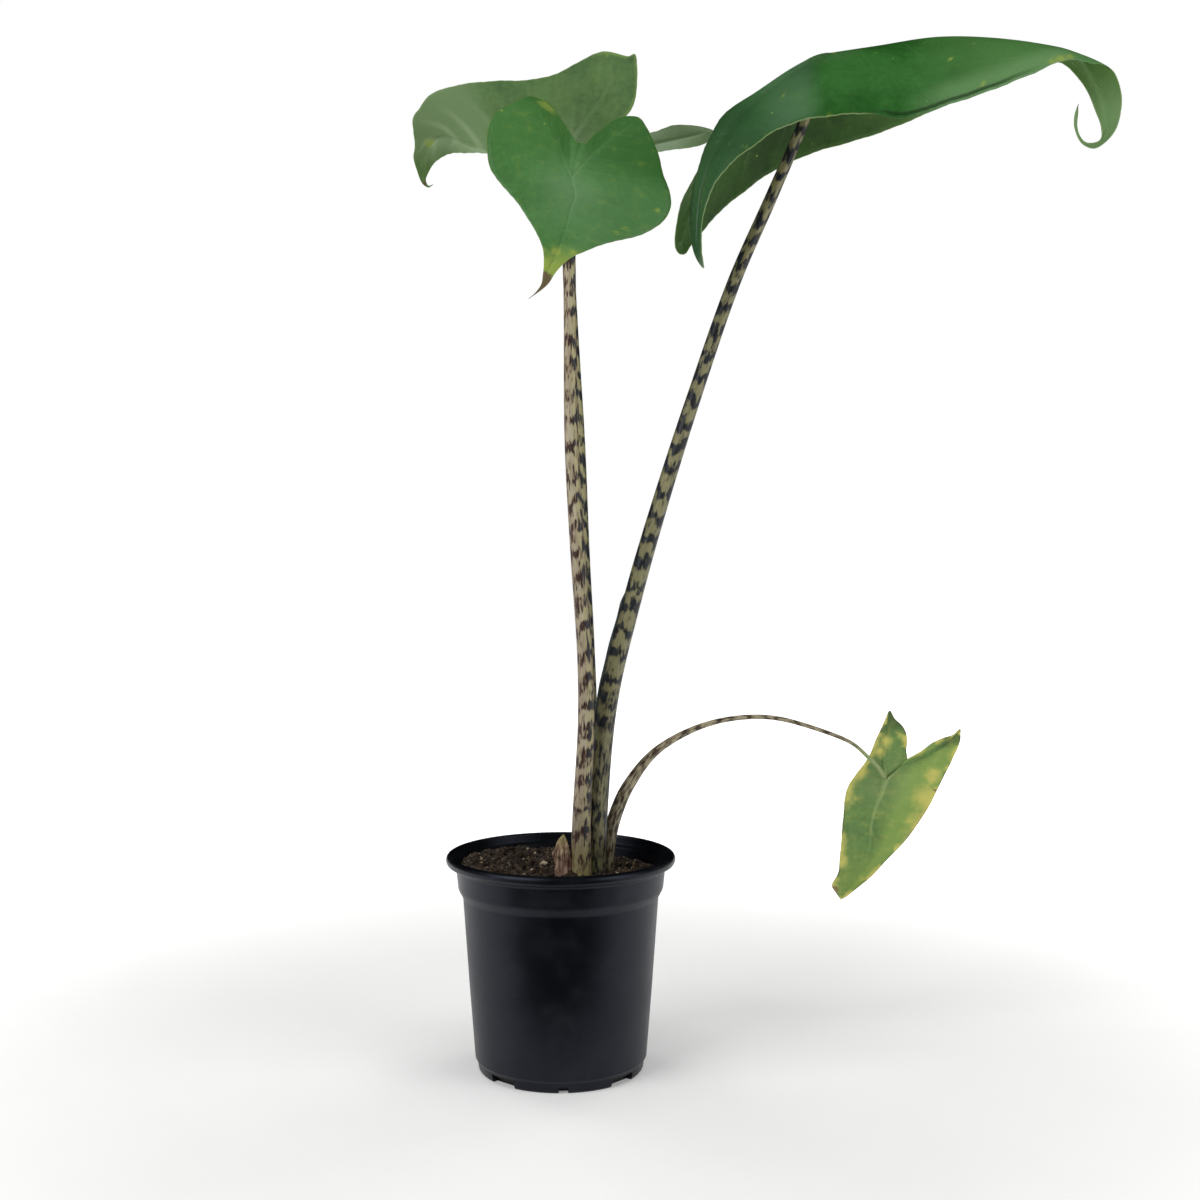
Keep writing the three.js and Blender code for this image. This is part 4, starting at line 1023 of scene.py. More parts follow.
def stalk_rule():
    """A Geometry Nodes tree that sweeps a round skin along a chain of points."""
    tree, given = rule("stalk_skin_along_path", [
        ("Path", "Geometry", None), ("Sides", "Int", 28), ("Rounded Tip", "Float", 0.006),
        ("Pattern Radius", "Float", 6.0), ("Skin", "Material", None)], "Skin Mesh")
    path = add(tree, "GeometryNodeMeshToCurve", {"Mesh": given["Path"]})
    walked = add(tree, "GeometryNodeSplineParameter").outputs["Length"]
    keep_length = add(tree, "GeometryNodeCaptureAttribute", {"Geometry": path})
    keep_length.capture_items.new("FLOAT", "Length")
    tree.links.new(walked, keep_length.inputs["Length"])

    # The last stretch closes to a round tip: sqrt(1 - (1 - left / tip)^2) of the full radius
    total = add(tree, "GeometryNodeSplineLength").outputs["Length"]
    left = add(tree, "ShaderNodeMath", {0: total, 1: walked}, operation="SUBTRACT")
    share = add(tree, "ShaderNodeMath", {0: left, 1: given["Rounded Tip"]}, operation="DIVIDE",
                use_clamp=True)
    gone = add(tree, "ShaderNodeMath", {0: 1.0, 1: share}, operation="SUBTRACT")
    square = add(tree, "ShaderNodeMath", {0: gone, 1: 2.0}, operation="POWER")
    rest = add(tree, "ShaderNodeMath", {0: 1.0, 1: square}, operation="SUBTRACT")
    full = add(tree, "ShaderNodeMath", {0: rest, 1: 0.5}, operation="POWER")
    radius = add(tree, "GeometryNodeInputNamedAttribute", {"Name": "radius_m"}, data_type="FLOAT")
    size = add(tree, "ShaderNodeMath", {0: radius, 1: full}, operation="MULTIPLY")

    ring = add(tree, "GeometryNodeCurvePrimitiveCircle", {"Resolution": given["Sides"], "Radius": 1.0})
    keep_place = add(tree, "GeometryNodeCaptureAttribute", {"Geometry": ring})
    keep_place.capture_items.new("VECTOR", "Place")
    tree.links.new(add(tree, "GeometryNodeInputPosition").outputs[0], keep_place.inputs["Place"])
    tube = add(tree, "GeometryNodeCurveToMesh", {
        "Curve": keep_length.outputs["Geometry"], "Profile Curve": keep_place.outputs["Geometry"],
        "Scale": size, "Fill Caps": True})

    # The straightened skin: round the stalk in X and Y, along it in Z, all in millimetres
    place = add(tree, "ShaderNodeSeparateXYZ", {0: keep_place.outputs["Place"]})
    round_x = add(tree, "ShaderNodeMath", {0: place.outputs["X"], 1: given["Pattern Radius"]},
                  operation="MULTIPLY")
    round_y = add(tree, "ShaderNodeMath", {0: place.outputs["Y"], 1: given["Pattern Radius"]},
                  operation="MULTIPLY")
    along = add(tree, "ShaderNodeMath", {0: keep_length.outputs["Length"], 1: 1 / MM}, operation="MULTIPLY")
    straight = add(tree, "ShaderNodeCombineXYZ", {"X": round_x, "Y": round_y, "Z": along})
    stored = add(tree, "GeometryNodeStoreNamedAttribute",
                 {"Geometry": tube, "Name": "straight_skin", "Value": straight}, data_type="FLOAT_VECTOR",
                 domain="POINT")
    smooth = add(tree, "GeometryNodeSetShadeSmooth", {"Geometry": stored, "Shade Smooth": True})
    real = add(tree, "GeometryNodeRealizeInstances", {"Geometry": smooth})
    dressed = add(tree, "GeometryNodeSetMaterial", {"Geometry": real, "Material": given["Skin"]})
    add(tree, "NodeGroupOutput", {"Skin Mesh": dressed})
    return tree


tree = stalk_rule()
print(tree.name, "has", len(tree.nodes), "nodes")

# %% [markdown]
# ## From a tree to a plain mesh
# The result of a tree is taken over as a plain mesh, because a finished piece should be free of anything
# that is still being worked out. A tree's input is set by the identifier of its socket, and before the host
# is worked out for the first time.

# %% From a tree to a plain mesh
def grown(host, tree, **values):
    """Runs a Geometry Nodes tree on a host object and returns its result as a plain mesh."""
    modifier = host.modifiers.new("growth", "NODES")
    modifier.node_group = tree
    sockets = {item.name: item.identifier for item in tree.interface.items_tree if item.in_out == "INPUT"}
    for name, value in values.items():
        modifier[sockets[name.replace("_", " ")]] = value
    scene.collection.objects.link(host)
    graph = bpy.context.evaluated_depsgraph_get()
    mesh = bpy.data.meshes.new_from_object(host.evaluated_get(graph), preserve_all_data_layers=True,
                                           depsgraph=graph)
    bpy.data.objects.remove(host)
    return mesh


print("sockets of the stalk tree:", [item.name for item in tree.interface.items_tree])

# %% [markdown]
# ## A chain of points along a stalk
# The stalk's end runs into the ribs of its blade, so the chain ends a little before the last measured
# point and lies closer there, where the skin rounds off. Measured radii change in steps, so a moving average
# smooths them.

# %% A chain of points along a stalk
PATH_STEP, END_STRETCH, END_STEPS = 2.5, 5.0, 12
PATH_FINE = 1000
THIN, STOUT = 2.6, 4.4  # a radius up to THIN is slimmed in full, and one from STOUT not at all
END_GIRTH, END_SLIM = 1.1, 22  # the radius swells to this share over the last millimetres
BLUR = 9


def path(table, at):
    """Places on a stalk's middle line, and its radius at each."""
    table = np.array(table, float)
    radius = np.interp(at * (len(table) - 1), np.arange(len(table)), table[:, 3])
    return curve(table[:, :3], at), radius


def path_host(table, slim, short):
    """A chain of points along a stalk's middle line with its radius, ending a little short of its end.
    Its thin stretch is made slimmer by the given share, up to its last millimetres."""
    fine = np.linspace(0, 1, PATH_FINE)
    walked = way(path(table, fine)[0])
    end = walked[-1] - short
    at_mm = np.concatenate([np.arange(0, end - END_STRETCH, PATH_STEP),
                            np.linspace(end - END_STRETCH, end, END_STEPS)])
    middle, radius = path(table, np.interp(at_mm, walked, fine))
    thinned = np.interp(radius, [THIN, STOUT], [slim, 1])
    near_end = np.interp(end - at_mm, [0, END_SLIM], [1, 0])
    radius *= thinned + (END_GIRTH - thinned) * near_end * (slim < 1)
    radius = np.convolve(np.pad(radius, BLUR // 2, mode="edge"), np.ones(BLUR) / BLUR, mode="valid")
    chain = bpy.data.meshes.new("path")
    chain.from_pydata(middle * MM, [(i, i + 1) for i in range(len(middle) - 1)], [])
    store(chain, "radius_m", "FLOAT", "POINT", radius * MM)
    return bpy.data.objects.new("path", chain)


print("the large stalk's path is", round(way(path(LARGE_STALK, np.linspace(0, 1, FINE))[0])[-1]), "mm long")

# %% [markdown]
# ## Zebra skin
# The stalks' skin gives this plant its name. Dark bands cross a pale ground, slanting and ragged at their
# ends, because the colour sits in long cells that lie along the stalk. Near the soil the bands break up
# into streaks. A wave along the straightened skin places the bands, slow noises push them about and break
# them into patches, and noises stretched along the stalk fray their ends. A brown halo lies round each
# patch, and painted shade makes the sides that face left and right darker, with more dark bands.

# %% Zebra skin
# Cells of the noises in millimetres, round and along the stalk, and their detail
STALK_NOISES = {"push": (7, 13, 2), "patch": (4, 7, 2), "fray": (1.3, 12, 2), "fibre": (0.7, 6, 3),
                "low": (1.5, 7, 3), "drift": (9, 35, 2), "hair": (0.5, 12, 2)}
FRAYED, FIBRES, LOW_SPECKS, LOW_FIBRES = 3.0, 1.2, 3.2, 0.8
CHANGE_FADE, PLAIN_FADE, CLEAN_FADE = 35, 18, 12
GREEN_FOOT = (160, 128)
HAIR_DEPTH = 0.08


def stalk_skin(name, look):
    """Banded stalk skin, drawn in straightened millimetres."""
    made, tree, shader = material(name, Specular_IOR_Level=0.35)
    skin = add(tree, "ShaderNodeAttribute", attribute_name="straight_skin").outputs["Vector"]
    parts = add(tree, "ShaderNodeSeparateXYZ", {0: skin})
    height = add(tree, "ShaderNodeSeparateXYZ", {0: millimetres(tree)}).outputs["Z"]
    faced = add(tree, "ShaderNodeSeparateXYZ", {0: add(tree, "ShaderNodeTexCoord").outputs["Normal"]})
    sideways = add(tree, "ShaderNodeMath", {0: faced.outputs["X"]}, operation="ABSOLUTE")
    # Painted shade: the sides that face left and right get more dark bands and specks, and a darker ground
    painted_side_shade = area(tree, (sideways, 0.55, 1.0))
    east = area(tree, (faced.outputs["X"], 0.0, 0.45))

    # The bands, as a field that is above zero where the skin is dark
    turn = 2 * math.pi / look["band"]
    noises = {key: cloud(tree, skin, *cell) for key, cell in STALK_NOISES.items()}
    streak = cloud(tree, skin, *look["streak"], 3)
    phase = weighed(tree, [(parts.outputs["Z"], turn), (parts.outputs["X"], look["slant"]),
                           (noises["push"], look["uneven"]), (noises["fray"], FRAYED)])
    wave = add(tree, "ShaderNodeMath", {0: phase}, operation="SINE")
    bands = weighed(tree, [(wave, look["wave"]), (noises["patch"], look["patch"]), (streak, look["split"]),
                           (noises["fibre"], FIBRES), (painted_side_shade, look["painted_side_shade"]), (east, look["east_more"])],
                    look["share"])

    # Near the soil the pattern is streaks alone
    specks = weighed(tree, [(noises["low"], LOW_SPECKS), (noises["fibre"], LOW_FIBRES),
                            (painted_side_shade, look["painted_side_shade"])], look["low_share"])
    upper = area(tree, (height, look["change"] - CHANGE_FADE, look["change"] + CHANGE_FADE))
    field = add(tree, "ShaderNodeMix", {"Factor": upper, "A": specks, "B": bands}, data_type="FLOAT")
    walked, plain = parts.outputs["Z"], look["plain_from"]
    not_plain = (walked, plain + PLAIN_FADE, plain)
    dark = area(tree, (field, 0.0, 0.26), (height, look["clean"], look["clean"] + CLEAN_FADE), not_plain)

    # The ground drifts along the stalk, is greener on its right side and at the foot, and has pale fibres
    ground = coated(tree, *look["ground"], (noises["drift"], 0.35, 0.65))
    ground = coated(tree, ground, look["east_ground"], most=east)
    ground = mottled(tree, ground, noises["hair"], 0.84, 1.14)
    ground = coated(tree, ground, look["foot"], (height, *GREEN_FOOT), most=0.8)
    ground = coated(tree, ground, look["shade"], (field, -0.5, 0.1), not_plain, most=0.8)
    # Painted shade on the sides that face left and right, in the same colour as the halo
    ground = coated(tree, ground, look["shade"], (sideways, 0.6, 1.05), not_plain, most=0.6)
    ground = coated(tree, ground, look["plain"], (walked, plain, plain + PLAIN_FADE))
    ink = coated(tree, *look["dark"], (streak, 0.4, 0.62))
    ink = coated(tree, ink, look["east_dark"], most=east)
    colour = coated(tree, ground, ink, most=dark)
    gloss = add(tree, "ShaderNodeMapRange", {
        "Value": noises["drift"], "From Min": NOISE_LOW, "From Max": NOISE_HIGH,
        "To Min": 0.36, "To Max": 0.5})
    bump = add(tree, "ShaderNodeBump", {"Strength": 1.0, "Distance": HAIR_DEPTH * MM,
                                        "Height": noises["hair"]})
    joined(tree, shader, Base_Color=colour, Roughness=gloss, Normal=bump)
    return made


print("a stalk's skin mixes", len(STALK_NOISES) + 1, "noises")

# %% [markdown]
# ## The four stalks
# Each stalk has the same skin with its own values: how long a band is, how much of it is dark, how far it
# breaks into streaks, where the bands begin above the soil, and the tones of its ground. Its last stretch
# stops just short of the blade's ribs.

# %% The four stalks
STALK_SIDES = 32
# painted_side_shade: how many more dark bands the painted shade puts on a stalk's sides
ZEBRA = {"slant": 0.34, "uneven": 9.0, "wave": 0.6, "patch": 3.2, "split": 1.4, "streak": (1.8, 8),
         "share": -2.95, "low_share": -2.15, "change": 230, "painted_side_shade": 0.3, "east_more": 0.0, "clean": 120,
         "plain_from": 9000.0, "plain": "#8b9a66"}
ROUND = {"slim": 1.0, "short": 2.2, "tip": 0.004, "girth": 6.0}
STALKS = {
    "stalk_front": {"table": FRONT_STALK, "slot": "stalk_pinkish", **ROUND, "short": 3.2, "look": {
        **ZEBRA, "band": 17.0, "wave": 0.5, "patch": 2.0, "split": 3.2, "streak": (1.5, 7), "share": -3.4,
        "change": 145, "painted_side_shade": 0.1, "east_more": 0.15, "slant": 0.16, "clean": 131,
        "ground": ("#94886f", "#a79e85"), "shade": "#6d5a45", "dark": ("#301b1a", "#3f2a26"),
        "east_ground": "#a19a74", "east_dark": "#26272b", "foot": "#9c955c"}},
    "stalk_rear": {"table": REAR_STALK, "slot": "stalk_green", **ROUND, "short": 0.3, "tip": 0.003,
                   "look": {
        **ZEBRA, "band": 15.0, "share": -3.0, "change": 150,
        "ground": ("#98926a", "#a8a17a"), "shade": "#5f5c42", "dark": ("#1d1c20", "#2e2f30"),
        "east_ground": "#9a946c", "east_dark": "#202226", "foot": "#8f8c58"}},
    "stalk_large": {"table": LARGE_STALK, "slot": "stalk_olive", **ROUND, "look": {
        **ZEBRA, "band": 16.0, "low_share": -2.05,
        "ground": ("#757250", "#868260"), "shade": "#4d4937", "dark": ("#171b1f", "#262a2f"),
        "east_ground": "#7f7b5b", "east_dark": "#1c2024", "foot": "#6c6c46"}},
    "stalk_hanging": {"table": HANGING_STALK, "slot": "stalk_mottled", **ROUND, "slim": 0.68, "girth": 3.5,
                      "look": {
        **ZEBRA, "band": 12.0, "wave": 0.45, "split": 2.2, "streak": (1.2, 5), "share": -3.45, "change": 205,
        "low_share": -2.0, "painted_side_shade": 0.1, "slant": 0.16, "plain_from": 268.0,
        "ground": ("#978e76", "#aaa086"), "shade": "#6a5f4a", "dark": ("#382c23", "#4a3c30"),
        "east_ground": "#a0987a", "east_dark": "#3a3027", "foot": "#857c58"}},
}
for name, stalk in STALKS.items():
    skin = stalk_skin(name + "_zebra_skin", stalk["look"])
    host = path_host(stalk["table"], stalk["slim"], stalk["short"])
    mesh = grown(host, tree, Sides=STALK_SIDES, Pattern_Radius=stalk["girth"], Rounded_Tip=stalk["tip"],
                 Skin=skin)
    finished(name + "_skin", mesh, name)

# %% [markdown]
# ## The sheath edges
# A leaf stalk of this plant clasps the next one with a thin sheath, which stays on it as a narrow wing with
# a pointed top. A strip is lofted along the stalk's own path, so that it grows out of the skin everywhere.

# %% The sheath edges
SHEATH_THICK, SHEATH_SUNK, SHEATH_LEAST = 0.5, 1.2, 0.02
SHEATH_WIDENS, SHEATH_ENDS = 0.2, 0.04  # shares of its length
NIBBLED, NIBBLES = 0.12, 40
LEANS, LEANINGS = 0.35, 23
SHEATH_GRAIN = (1.25, 11, 3)


def sheath_edge(table, turn, low, top, width):
    """A thin wing along one side of a stalk, between two heights, as a closed strip."""
    middle, radius = path(table, np.linspace(0, 1, FINE))
    inside = (middle[:, 2] > low) & (middle[:, 2] < top)
    along = unit(np.gradient(middle, axis=0))[inside]
    middle, radius = middle[inside], radius[inside]
    back = unit(np.array([0.0, 1.0, 0.0]) - along * along[:, 1:2])
    aside = np.cross(back, along)
    angle = np.radians(turn)
    out = back * np.cos(angle) + aside * np.sin(angle)
    across = np.cross(along, out)
    share = np.linspace(0, 1, len(middle))
    reach = width * np.minimum(1, share / SHEATH_WIDENS) * np.minimum(1, (1 - share) / SHEATH_ENDS)
    reach = reach * (1 + NIBBLED * np.sin(share * NIBBLES)) + SHEATH_LEAST
    lean = LEANS * np.sin(share * LEANINGS)[:, None]
    root = middle + out * (radius - SHEATH_SUNK)[:, None]
    tip = middle + out * (radius + reach)[:, None] + across * lean
    half = across * SHEATH_THICK / 2
    rings = np.stack([root + 2 * half, tip + 0.4 * half, tip - 0.4 * half, root - 2 * half], axis=1)
    count = len(rings)
    faces = [(4 * i + j, 4 * i + (j + 1) % 4, 4 * i + 4 + (j + 1) % 4, 4 * i + 4 + j)
             for i in range(count - 1) for j in range(4)]
    faces += [(3, 2, 1, 0), tuple(4 * (count - 1) + j for j in range(4))]
    mesh = bpy.data.meshes.new("sheath_edge")
    mesh.from_pydata(rings.reshape(-1, 3) * MM, [], faces)
    work = bmesh.new()
    work.from_mesh(mesh)
    bmesh.ops.recalc_face_normals(work, faces=work.faces)
    work.to_mesh(mesh)
    work.free()
    return mesh


def sheath_skin(name, tone, rim):
    """The thin glossy skin of a sheath, in two tones mixed by a grain that is long upwards."""
    made, tree, shader = material(name, Roughness=0.3)
    grain = cloud(tree, millimetres(tree), *SHEATH_GRAIN)
    joined(tree, shader, Base_Color=coated(tree, tone, rim, (grain, 0.4, 0.6)))
    return made


mesh = sheath_edge(LARGE_STALK, turn=252, low=140, top=318, width=1.5)
mesh.materials.append(sheath_skin("large_sheath_thin_skin", "#2b3436", "#4c5550"))
finished("sheath_edge_large", mesh, None)
mesh = sheath_edge(REAR_STALK, turn=150, low=150, top=300, width=0.8)
mesh.materials.append(sheath_skin("rear_sheath_thin_skin", "#a3a58a", "#7c7f5e"))
finished("sheath_edge_rear", mesh, None)

# %% [markdown]
# ## The pot's outline
# A nursery pot is blown or moulded from thin black polypropylene in one piece: a rolled rim, a collar that
# stiffens it, a ledge where stacked pots rest on each other, a tapering wall and a foot with drain notches.
# Its outline turned about one axis gives all of that. Every corner of the outline is rounded first, because
# moulded plastic has no sharp corner, and the highlight along each of them is what makes it look moulded.

# %% The pot's outline
POT_PROFILE = [
    (0, 0, 0), (18, 0, 0.8), (19.5, 2, 0.8), (47, 2, 0.8), (49.5, 0, 0.8), (54.4, 0, 0.5), (55.3, 1.2, 0.6),
    (56.1, 6.8, 1.2), (57.5, 8.2, 1.2), (61.2, 56, 0), (65.4, 116, 1.0), (68.1, 121, 0.8), (68.6, 122.5, 0.8),
    (69.9, 135.2, 1.4), (71.4, 136.8, 1.0), (75.4, 138, 1.0), (76.5, 139.6, 1.0), (76.7, 141.6, 1.0),
    (75.9, 143.4, 0.9), (74.5, 144.2, 0.8), (73, 144.2, 0.8), (72.4, 143, 0.8), (71.6, 138.4, 0.7),
    (69.2, 136.2, 0.7), (67.4, 122, 1.0), (64.2, 116.4, 2.0), (60, 56, 0), (56.3, 8.6, 2.0), (54, 3.4, 1.5),
    (20, 3.4, 0.8), (18, 1.4, 0.8), (0, 1.4, 0),
]
POT_SIDES = 192


def rounded(profile, pieces=4, most=0.45):
    """An outline of (radius, height, corner radius) points with each corner turned into a short arc, which
    takes up no more than the given share of the straight lines beside it."""
    line = []
    for i, (r, z, corner) in enumerate(profile):
        here = np.array([r, z], float)
        if corner == 0:
            line.append(here)
            continue
        before, after = np.array(profile[i - 1][:2], float), np.array(profile[i + 1][:2], float)
        reach = min(corner, most * np.linalg.norm(before - here), most * np.linalg.norm(after - here))
        start, end = here + unit(before - here) * reach, here + unit(after - here) * reach
        for w in np.linspace(0, 1, pieces + 1):
            line.append((1 - w) ** 2 * start + 2 * w * (1 - w) * here + w ** 2 * end)
    return np.array(line)


def turned(line, sides):
    """A closed solid made by turning an outline that starts and ends on the axis."""
    work = bmesh.new()
    rings = []
    for r, z in line:
        if r < 1e-6:
            rings.append([work.verts.new((0, 0, z * MM))] * sides)
            continue
        angles = [2 * math.pi * j / sides for j in range(sides)]
        rings.append([work.verts.new((r * math.cos(a) * MM, r * math.sin(a) * MM, z * MM)) for a in angles])
    for low, high in zip(rings, rings[1:]):
        for j in range(sides):
            loop = [low[j], low[(j + 1) % sides], high[(j + 1) % sides], high[j]]
            kept = [v for n, v in enumerate(loop) if v is not loop[n - 1]]
            if len(kept) > 2:
                work.faces.new(kept)
    bmesh.ops.recalc_face_normals(work, faces=work.faces)
    mesh = bpy.data.meshes.new("turned")
    work.to_mesh(mesh)
    work.free()
    return mesh


pot_outline = rounded(POT_PROFILE)
pot_body = placed("pot_body", turned(pot_outline, POT_SIDES))
print("the pot's outline has", len(POT_PROFILE), "corners, rounded to", len(pot_outline), "points")

# %% [markdown]
# ## The drain notches
# Eight notches let the water out of the foot: four wide ones and a small one beside each. A real mould has
# them as steps in its metal. Here a block cuts each out of the finished shell, which leaves true openings
# with the wall's own thickness, and a picture of a notch would not.

# %% The drain notches
NOTCHES = {"wide": {"width": 20, "height": 5.5, "first": 48},
           "small": {"width": 6, "height": 4, "first": 3}}
NOTCH_SET = 4
NOTCH_DEPTH, NOTCH_AT = 14, 56.8
SHARP_FROM = 35


def cutter(width, height, degrees):
    """A block that cuts one notch into the foot."""
    work = bmesh.new()
    bmesh.ops.create_cube(work, size=1)
    bmesh.ops.scale(work, vec=(NOTCH_DEPTH * MM, width * MM, 2 * height * MM), verts=work.verts)
    bmesh.ops.translate(work, vec=(NOTCH_AT * MM, 0, 0), verts=work.verts)
    bmesh.ops.rotate(work, cent=(0, 0, 0), matrix=Matrix.Rotation(math.radians(degrees), 3, "Z"),
                     verts=work.verts)
    mesh = bpy.data.meshes.new("notch")
    work.to_mesh(mesh)
    work.free()
    return placed("notch", mesh)


blocks = [cutter(notch["width"], notch["height"], notch["first"] + 360 / NOTCH_SET * i)
          for notch in NOTCHES.values() for i in range(NOTCH_SET)]
for block in blocks:
    cut = pot_body.modifiers.new("notch", "BOOLEAN")
    cut.operation, cut.solver, cut.object = "DIFFERENCE", "EXACT", block
graph = bpy.context.evaluated_depsgraph_get()
pot_mesh = bpy.data.meshes.new_from_object(pot_body.evaluated_get(graph))
for leftover in [pot_body, *blocks]:
    bpy.data.objects.remove(leftover)
pot_mesh.shade_smooth()
pot_mesh.set_sharp_from_angle(angle=math.radians(SHARP_FROM))
print("pot notches:", len(blocks))

# %% [markdown]
# ## Moulded polypropylene
# Black polypropylene is never quite black: handling scuffs it, watering leaves a faint film of lime and the
# mould leaves it satin rather than glossy. The base stays very dark, while a soft noise in the roughness
# and a little grey dust break the reflections up.

# %% Moulded polypropylene
PLASTIC_IOR = 1.49
FILM, DUST, SPECKS = 30, 2.2, 16  # cells of the lime film, the dust and the scattered specks
FILM_DEPTH = 0.25
BLACK, GREY_DUST, PALE_SPECK = "#07080b", "#80848c", "#8c8a84"


def moulded_polypropylene():
    """Satin black plastic with a film of lime, a little dust and a few pale specks."""
    made, tree, shader = material("moulded_black_polypropylene", IOR=PLASTIC_IOR, Specular_IOR_Level=0.37,
                                  Specular_Tint=linear("#d6e0ff"))
    mm = millimetres(tree)
    film = add(tree, "ShaderNodeTexNoise", {"Vector": mm, "Scale": 1 / FILM, "Detail": 6, "Roughness": 0.6})
    dust = add(tree, "ShaderNodeTexNoise", {"Vector": mm, "Scale": 1 / DUST, "Detail": 5, "Roughness": 0.7})
    colour = coated(tree, BLACK, GREY_DUST, (dust, 0.62, 0.8), most=0.12)
    colour = coated(tree, colour, GREY_DUST, (film, 0.4, 0.8), most=0.04)
    specks = add(tree, "ShaderNodeTexVoronoi", {"Vector": mm, "Scale": 1 / SPECKS})
    chance = add(tree, "ShaderNodeSeparateXYZ", {0: specks.outputs["Color"]}).outputs["X"]
    colour = coated(tree, colour, PALE_SPECK, (chance, 0.9, 0.901),
                    (specks.outputs["Distance"], 0.035, 0.025))
    satin = add(tree, "ShaderNodeMapRange", {"Value": film, "From Min": NOISE_LOW, "From Max": NOISE_HIGH,
                                             "To Min": 0.34, "To Max": 0.46})
    relief = add(tree, "ShaderNodeMath", {0: film, 1: FILM_DEPTH}, operation="MULTIPLY")
    bump = add(tree, "ShaderNodeBump", {"Strength": 1.0, "Distance": MM, "Height": relief})
    joined(tree, shader, Base_Color=colour, Roughness=satin, Normal=bump)
    return made


pot_mesh.materials.clear()
pot_mesh.materials.append(moulded_polypropylene())
finished("pot_moulding", pot_mesh, "pot")

# %% [markdown]
# ## The soil's body
# The pot is filled with dark peat that climbs a little at the rear left wall. Its surface is one relief of
# lumps over finer lumps. The plain solid's height formula comes first, and a fine noise is added to it.

# %% The soil's body
SOIL_LEVEL, SOIL_RISE, SOIL_CRUMB = 130, 8, 2.2
SOIL_WALL = [(66.6, 122), (63.9, 116), (59.7, 56), (56, 9.5), (53.5, 3.7)]
SOIL_EDGE = 67.1
LUMP, LUMP_HIGH, GRIT, GRIT_HIGH = 7, 1.3, 2.2, 0.7  # sizes and heights of the lumps, in millimetres


def soil_height(x, y):
    """The height of the soil at a place, in millimetres."""
    a = math.sin(x * 0.31 + 1.3) * math.cos(y * 0.27 - 0.4)
    b = math.sin(x * 0.83 - y * 0.61 + 2.1) * math.cos(y * 0.94 + x * 0.2)
    out = math.hypot(x, y) / SOIL_EDGE
    rise = SOIL_RISE * max(0, (-0.9 * x + 0.44 * y) / SOIL_EDGE) * out
    lumps = noise.fractal(Vector((x, y, 0)) / LUMP, 0.9, 2.1, 4) * LUMP_HIGH
    lumps = lumps + noise.noise(Vector((x, y, 5)) / GRIT) * GRIT_HIGH
    return SOIL_LEVEL + rise + SOIL_CRUMB * (0.6 * a + 0.4 * b) + lumps * min(1, 4 * (1 - out) + 0.25)


def soil_meshes(rings=56, sides=150):
    """The soil as a closed solid, and its top alone for scattering."""
    work = bmesh.new()
    centre = work.verts.new((0, 0, soil_height(0, 0) * MM))
    loops = []
    for i in range(1, rings + 1):
        r = SOIL_EDGE * i / rings
        angles = [2 * math.pi * j / sides for j in range(sides)]
        spots = [(r * math.cos(a), r * math.sin(a)) for a in angles]
        loops.append([work.verts.new((x * MM, y * MM, soil_height(x, y) * MM)) for x, y in spots])
    for j in range(sides):
        work.faces.new((centre, loops[0][j], loops[0][(j + 1) % sides]))
    for inner, outer in zip(loops, loops[1:]):
        for j in range(sides):
            k = (j + 1) % sides
            work.faces.new((inner[j], outer[j], outer[k], inner[k]))
    top = bpy.data.meshes.new("soil_top")
    work.to_mesh(top)
    above = loops[-1]
    for r, z in SOIL_WALL:
        angles = [2 * math.pi * j / sides for j in range(sides)]
        below = [work.verts.new((r * math.cos(a) * MM, r * math.sin(a) * MM, z * MM)) for a in angles]
        for j in range(sides):
            k = (j + 1) % sides
            work.faces.new((above[j], below[j], below[k], above[k]))
        above = below
    work.faces.new(list(reversed(above)))
    bmesh.ops.recalc_face_normals(work, faces=work.faces)
    whole = bpy.data.meshes.new("soil")
    work.to_mesh(whole)
    work.free()
    return whole, top


soil_mesh, soil_top = soil_meshes()
print("the soil's top has", len(soil_top.polygons), "faces")

# %% [markdown]
# ## Damp peat
# Peat is nearly black in its pores and brown where its crumbs have dried, and it has no gloss at all. Noise
# with crumb-sized cells mixes the two tones, and finer noise gives it grit. A value on the mesh, named tone,
# makes each crumb a little darker or lighter than the next, so the same peat serves the soil and its crumbs.

# %% Damp peat
CRUMB, PORE = 3.5, 0.9
SOIL_TONE = 0.35


def peat(name, tones):
    """Damp peat: almost black in its pores and brown on its dry crumbs."""
    made, tree, shader = material(name, Roughness=0.95, Specular_IOR_Level=0.2)
    mm = millimetres(tree)
    coarse = add(tree, "ShaderNodeTexNoise", {"Vector": mm, "Scale": 1 / CRUMB, "Detail": 6,
                                              "Roughness": 0.7})
    own = add(tree, "ShaderNodeAttribute", attribute_name="tone").outputs["Fac"]
    colour = coated(tree, *tones, (coarse, 0.36, 0.66))
    colour = mottled(tree, colour, weighed(tree, [(own, 0.4)], 0.3), 0.6, 1.5)
    grit = add(tree, "ShaderNodeTexNoise", {"Vector": mm, "Scale": 1 / PORE, "Detail": 4, "Roughness": 0.7})
    bump = add(tree, "ShaderNodeBump", {"Strength": 1.0, "Distance": PORE * MM, "Height": grit})
    joined(tree, shader, Base_Color=colour, Normal=bump)
    return made


soil_mesh.shade_smooth()
store(soil_mesh, "tone", "FLOAT", "POINT", [SOIL_TONE] * len(soil_mesh.vertices))
soil_mesh.materials.append(peat("damp_peat", ("#29231f", "#4c4138")))
finished("soil_fill", soil_mesh, "soil")

